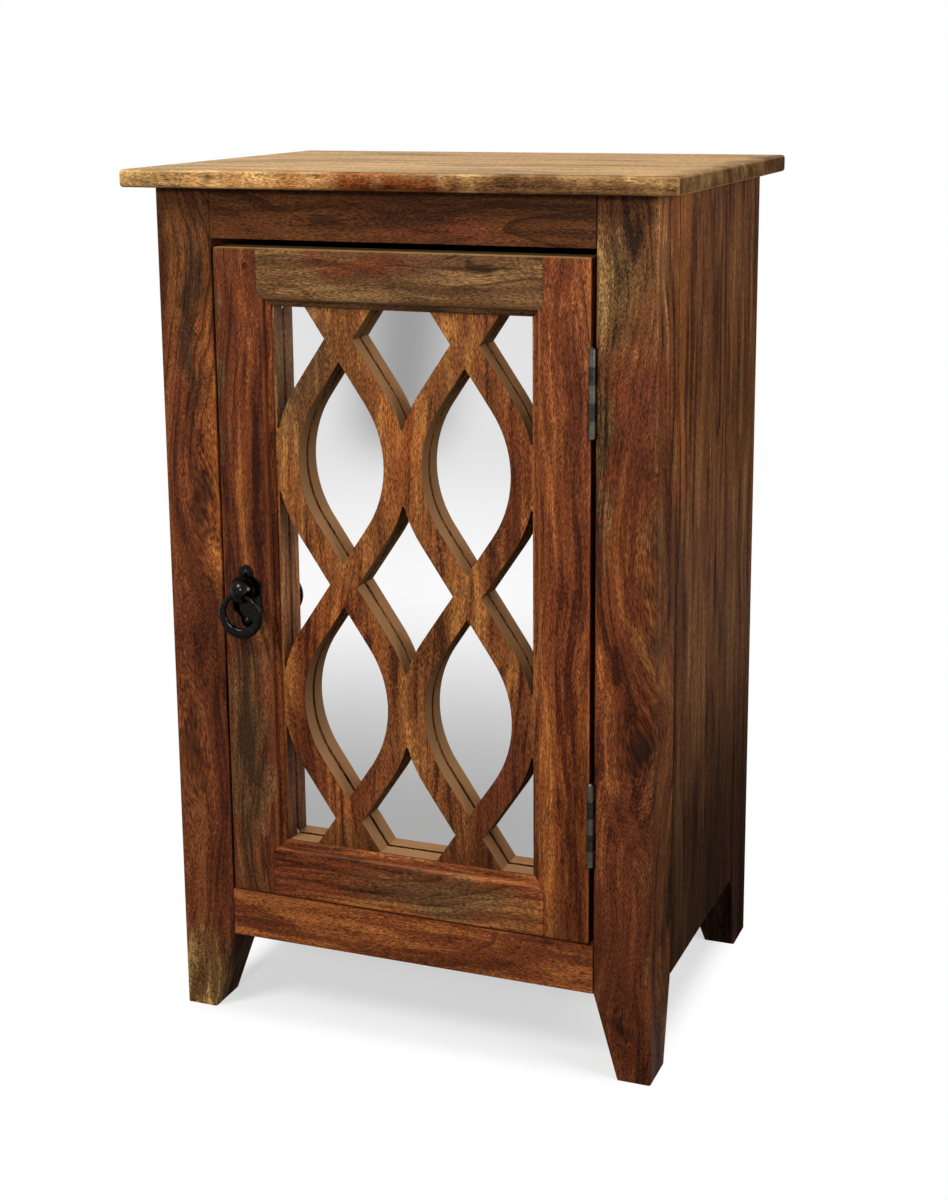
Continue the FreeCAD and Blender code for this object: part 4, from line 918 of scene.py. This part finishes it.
# the countersunk screws: radii of head and shank, depth of the head's cone, and whole length
SCREW_HEAD, SCREW_SHANK, SCREW_CONE, SCREW_LENGTH = 2.4 * MM, 1.2 * MM, 1.4 * MM, 12 * MM
HEAD_RINGS = (0, 0.08, 0.16, 0.25, 0.4, 0.55, 0.66, 0.72, 1.0)
CROSS_END = 0.72           # the cross's arms end at this share of the head's radius
CROSS_HALF = 0.15          # half their width, as a share of it
TAPER_AT = 0.85            # the point starts at this share of the length
SCREW_COLUMNS = 32


def cross_screw(spot, toward):
    """A countersunk screw whose head has a cross cut in it.

    The head's depth is a function of angle and radius: within the cross's arms it sinks, most at
    the middle and none at the arms' ends.
    """
    angle = round_angles(SCREW_COLUMNS)
    share = np.array(HEAD_RINGS)[:, None]
    radius = share * SCREW_HEAD
    beside = np.minimum(np.abs(radius * np.cos(angle)), np.abs(radius * np.sin(angle)))
    in_arm = beside < CROSS_HALF * SCREW_HEAD
    sink = in_arm * np.clip(CROSS_END - share, 0, CROSS_END) * SCREW_CONE
    tail_radii = np.array([SCREW_SHANK, SCREW_SHANK, 0.0])[:, None]
    tail = np.array([SCREW_CONE, SCREW_LENGTH * TAPER_AT, SCREW_LENGTH])[:, None]
    tail_depths = np.broadcast_to(tail, (3, SCREW_COLUMNS))
    radii, depths = np.concatenate([radius, tail_radii]), np.concatenate([sink, tail_depths])
    return turned(radii, depths, spot, toward, angle)


LEAF_THICK, LEAF_DEEP = 2 * MM, 22 * MM
# the leaf's screws: sixths of its height up from its middle, and shares of its depth
LEAF_SCREWS = ((-2, 0.45), (0, 0.7), (2, 0.45))


def hinge_screw_spots(leaf, side):
    """Three screws down each leaf, the middle one nearer to the leaf's back edge."""
    spots = []
    for hinge in HINGES:
        low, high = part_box("%s_hinge_%s" % (hinge, leaf))
        face = high.x - LEAF_THICK if side > 0 else low.x + LEAF_THICK
        middle, sixth = (low.z + high.z) / 2, (high.z - low.z) / 6
        spots += [(face, high.y - LEAF_DEEP * (1 - share), middle + up * sixth) for up, share in LEAF_SCREWS]
    return spots


BACKING_EDGE = 4 * MM      # the backing board's screws from its edges
BACKING_IN = 32 * MM       # its outer screws along its ends, from its sides
BACKING_UP = 127.56 * MM   # its side screws above and below the middle
PANEL_IN = 30 * MM         # the back panel's outer screws from the legs


def backing_spots():
    """Three screws along each end of the backing board and two down each side."""
    low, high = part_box("mirror_backing")
    middle = (low + high) / 2
    spots = [(x, high.y, z) for z in (low.z + BACKING_EDGE, high.z - BACKING_EDGE)
             for x in (low.x + BACKING_IN, middle.x, high.x - BACKING_IN)]
    return spots + [(x, high.y, middle.z + way * BACKING_UP)
                    for x in (low.x + BACKING_EDGE, high.x - BACKING_EDGE) for way in (-1, 1)]


def panel_spots():
    """Four screws into each back rail, along its middle line."""
    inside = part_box("back_panel")[0].y
    levels = [sum(corner.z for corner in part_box(rail)) / 2 for rail in ("back_top_rail", "back_bottom_rail")]
    outer = LEG_IN - PANEL_IN
    return [(way * x, inside, z) for way in (-1, 1) for x in (outer, outer / 3) for z in levels]


class TABLE_OT_make_screws(bpy.types.Operator):
    """Make the countersunk cross-head screws of the hinges, backing board and back panel"""
    bl_idname = "side_table.make_screws"
    bl_label = "Make Screws"

    def execute(self, context):
        zinc = bpy.data.materials["zinc_plated_steel"]
        rows = (("backing_screws", "door", (0, -1, 0), backing_spots()),
                ("cabinet_hinge_screws", "cabinet", (1, 0, 0), hinge_screw_spots("cabinet_leaf", 1)),
                ("door_hinge_screws", "door", (-1, 0, 0), hinge_screw_spots("door_leaf", -1)),
                ("back_panel_screws", "cabinet", (0, 1, 0), panel_spots()))
        for node, body, toward, spots in rows:
            sheets = [cross_screw(spot, toward) for spot in spots]
            piece = closed_piece(node + "_cross_head", body, zinc, sheets)
            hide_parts(node)
        for node in ("top_fixing_screws", "cleat_screws", "catch_screws", "strike_screws"):
            dress(node, zinc)
        return {"FINISHED"}


# ---------- stage

CAMERA_PLACE = Vector((0.6386, -1.6177, 0.8475))
CAMERA_YAW, CAMERA_PITCH, CAMERA_ROLL = 0.3737, math.radians(-12.05), math.radians(-0.48)
FOCAL_LENGTH = 58.75
SENSOR_HIGH = 36
FRAME_SHIFT = -0.1
# the lamps: name, place, setting that holds the power, and width of the square
LAMPS = (("key_lamp", (-1.1, -2.1, 2.8), "key_power", 1.0),
         ("fill_lamp", (1.0, -0.3, 0.8), "fill_power", 0.5),
         ("front_lamp", (0.15, -2.3, 1.25), "front_power", 0.3))
FLOOR_HALF = 9.0
FOOTPRINT = (0.192, 0.150, 0.0)        # the floor fades to white outside this half-rectangle
STRIP_ACROSS = (0.922, -0.387, 0.0)    # square to the dusky strip of floor that the mirror shows
ROOM_TURN = (0.66, 0.75, 0.0)          # toward the dark end of the room, behind the right side
PAPER_FIBRE = 1.5 * MM


def dark_end(tree, direction, room_dark):
    """How much darker a reflection is toward the dark end of the room, for glossy rays alone."""
    toward = add(tree, "VectorMath DOT_PRODUCT", direction, ROOM_TURN)
    amount = add(tree, "MapRange SMOOTHSTEP", toward, 0.35, 0.8, 0, room_dark)
    glossy = add(tree, "LightPath").outputs["Is Glossy Ray"]
    return add(tree, "Math MULTIPLY", amount, glossy)


def studio_world(settings):
    """White for the camera, metal, glass and mirror; a plainer level for the light on the object."""
    world = bpy.data.worlds.new("studio")
    world.use_nodes = True
    tree = world.node_tree
    tree.nodes.clear()
    path = add(tree, "LightPath").outputs
    seen = add(tree, "Math ADD", path["Is Camera Ray"], path["Is Glossy Ray"])
    through = add(tree, "Math ADD", seen, path["Is Transmission Ray"], use_clamp=True)
    level = add(tree, "MapRange", through, 0, 1, settings.ambient, 1.0)
    dark = dark_end(tree, add(tree, "TexCoord").outputs["Generated"], settings.room_dark)
    strength = add(tree, "Math SUBTRACT", level, dark, use_clamp=True)
    light = add(tree, "Background", {"Color": (1, 1, 1, 1), "Strength": strength})
    add(tree, "OutputWorld", {"Surface": light})
    bpy.context.scene.world = world


def floor_dusk(tree, direction, distance):
    """How much greyer the mirror shows the floor: more with distance, and most along one strip."""
    off_strip = add(tree, "VectorMath DOT_PRODUCT", direction, STRIP_ACROSS)
    aside = add(tree, "Math ABSOLUTE", off_strip)
    narrow = add(tree, "MapRange SMOOTHSTEP", aside, 0.065, 0.0)
    deep = add(tree, "MapRange SMOOTHSTEP", distance, 2.4, 3.3, 0, 0.45)
    strip = add(tree, "Math MULTIPLY", narrow, deep)
    greyer = add(tree, "MapRange SMOOTHSTEP", distance, 1.5, 3.0, 0, 0.2)
    return add(tree, "Math ADD", strip, greyer)


def studio_floor(settings):
    """Matt paper sweep, which gives the eye a soft shadow that fades into white.

    Near the table the floor is lit and shaded, and lifted toward white for the camera; farther out
    it is plain white, later for reflections than for the camera.
    """
    material, tree, shader, place = new_material("matt_paper_sweep")
    direction = add(tree, "VectorMath NORMALIZE", place)
    distance = add(tree, "VectorMath LENGTH", place)
    path = add(tree, "LightPath").outputs
    seen = add(tree, "Math ADD", path["Is Camera Ray"], path["Is Transmission Ray"])
    through = add(tree, "Math ADD", seen, path["Is Glossy Ray"], use_clamp=True)
    dark = dark_end(tree, direction, settings.room_dark)

    # the lit paper, with a glow of its own that is weaker in the table's shadow
    fibre = add(tree, "TexNoise", {"Vector": place, "Scale": noise_scale(PAPER_FIBRE)})
    paper = mottled(tree, settings.floor, fibre, 0.99)
    kept = add(tree, "Math SUBTRACT", 1.0, dark)
    dimmed = add(tree, "VectorMath SCALE", paper, kept)
    fill(tree, shader, {"Base Color": dimmed, "Roughness": 1.0, "Specular IOR Level": 0.0})
    unsigned = add(tree, "VectorMath ABSOLUTE", place)
    beyond = add(tree, "VectorMath SUBTRACT", unsigned, FOOTPRINT)
    outside = add(tree, "VectorMath MAXIMUM", beyond, (0, 0, 0))
    gap = add(tree, "VectorMath LENGTH", outside)
    near_fade = add(tree, "MapRange SMOOTHSTEP", gap, 0, settings.shadow_reach)
    glowing = add(tree, "MapRange", near_fade, 0, 1, settings.lift - settings.under, settings.lift)
    lifted = add(tree, "Math MULTIPLY", seen, glowing)
    glow = add(tree, "Emission", {"Strength": lifted})
    lit = add(tree, "AddShader", shader, glow)

    # the white that it fades into
    dusk = floor_dusk(tree, direction, distance)
    dusk_seen = add(tree, "Math MULTIPLY", dusk, path["Is Glossy Ray"])
    shown = add(tree, "Math SUBTRACT", through, dusk_seen)
    strength = add(tree, "Math SUBTRACT", shown, dark, use_clamp=True)
    white = add(tree, "Emission", {"Strength": strength})
    late_fade = add(tree, "MapRange SMOOTHSTEP", distance, 0.6, 1.65)
    far = add(tree, "Mix", path["Is Glossy Ray"], near_fade, late_fade)
    output = next(node for node in tree.nodes if node.type == "OUTPUT_MATERIAL")
    fill(tree, output, {"Surface": add(tree, "MixShader", far, lit, white)})
    return material


def add_lamp(name, place, target, watts, wide):
    """A large square lamp that looks at a point."""
    light = bpy.data.lights.new(name, "AREA")
    light.shape = "SQUARE"
    light.size = wide
    light.energy = watts
    lamp = bpy.data.objects.new(name, light)
    lamp.location = place
    lamp.rotation_euler = (Vector(target) - Vector(place)).to_track_quat("-Z", "Y").to_euler()
    lamp.visible_camera = False
    bpy.context.scene.collection.objects.link(lamp)


def add_camera():
    """The camera: yaw about Z, then pitch and a slight roll, with the frame shifted."""
    ahead = Vector((-math.sin(CAMERA_YAW) * math.cos(CAMERA_PITCH),
                    math.cos(CAMERA_YAW) * math.cos(CAMERA_PITCH), math.sin(CAMERA_PITCH)))
    level = Vector((math.cos(CAMERA_YAW), math.sin(CAMERA_YAW), 0))
    above = level.cross(ahead)
    right = math.cos(CAMERA_ROLL) * level + math.sin(CAMERA_ROLL) * above
    up = math.cos(CAMERA_ROLL) * above - math.sin(CAMERA_ROLL) * level
    data = bpy.data.cameras.new("camera")
    data.sensor_fit = "VERTICAL"
    data.sensor_height = SENSOR_HIGH
    data.lens = FOCAL_LENGTH
    data.shift_y = FRAME_SHIFT
    camera = bpy.data.objects.new("camera", data)
    camera.matrix_world = Matrix.Translation(CAMERA_PLACE) @ Matrix((right, up, -ahead)).transposed().to_4x4()
    bpy.context.scene.collection.objects.link(camera)
    bpy.context.scene.camera = camera


class TABLE_OT_make_stage(bpy.types.Operator):
    """Make the camera, the lamps, the world and the floor"""
    bl_idname = "side_table.make_stage"
    bl_label = "Make Stage"

    def execute(self, context):
        settings = context.scene.table_studio
        context.scene.view_settings.view_transform = "Standard"
        studio_world(settings)
        span = np.linspace(-FLOOR_HALF, FLOOR_HALF, 3)
        across, deep = np.meshgrid(span, span)
        points = np.stack([across.ravel(), deep.ravel(), np.zeros(across.size)], axis=1)
        mesh = bpy.data.meshes.new("floor")
        mesh.from_pydata(points.tolist(), [], grid_faces(span.size, span.size, False).tolist())
        mesh.materials.append(studio_floor(settings))
        floor = bpy.data.objects.new("floor", mesh)
        context.scene.collection.objects.link(floor)
        middle = (CAD_BOX[0] + CAD_BOX[1]) / 2
        for name, place, setting, wide in LAMPS:
            add_lamp(name, place, middle, getattr(settings, setting), wide)
        add_camera()
        return {"FINISHED"}


# ---------- panel and registration

class TABLE_PT_finishes(bpy.types.Panel):
    """Lists the pieces, with the sizes and colours that shape them"""
    bl_idname = "TABLE_PT_finishes"
    bl_label = "Side Table"
    bl_space_type = "VIEW_3D"
    bl_region_type = "UI"
    bl_category = "Side Table"

    def draw(self, context):
        for operator in OPERATORS:
            self.layout.operator(operator.bl_idname)
        for name, group in GROUPS:
            box = self.layout.box()
            for setting in group.__annotations__:
                box.prop(getattr(context.scene, name), setting)


OPERATORS = (TABLE_OT_make_stage, TABLE_OT_dress_boards, TABLE_OT_dress_metal, TABLE_OT_make_mirror,
             TABLE_OT_make_ring, TABLE_OT_make_nails, TABLE_OT_make_screws)
CLASSES = tuple(group for name, group in GROUPS) + OPERATORS + (TABLE_PT_finishes,)


def register():
    for item in CLASSES:
        bpy.utils.register_class(item)
    for name, group in GROUPS:
        setattr(bpy.types.Scene, name, PointerProperty(type=group))


def unregister():
    for name, group in GROUPS:
        delattr(bpy.types.Scene, name)
    for item in reversed(CLASSES):
        bpy.utils.unregister_class(item)


def main():
    """Register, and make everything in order."""
    register()
    for operator in OPERATORS:
        group, name = operator.bl_idname.split(".")
        getattr(getattr(bpy.ops, group), name)()


if __name__ == "__main__":
    main()
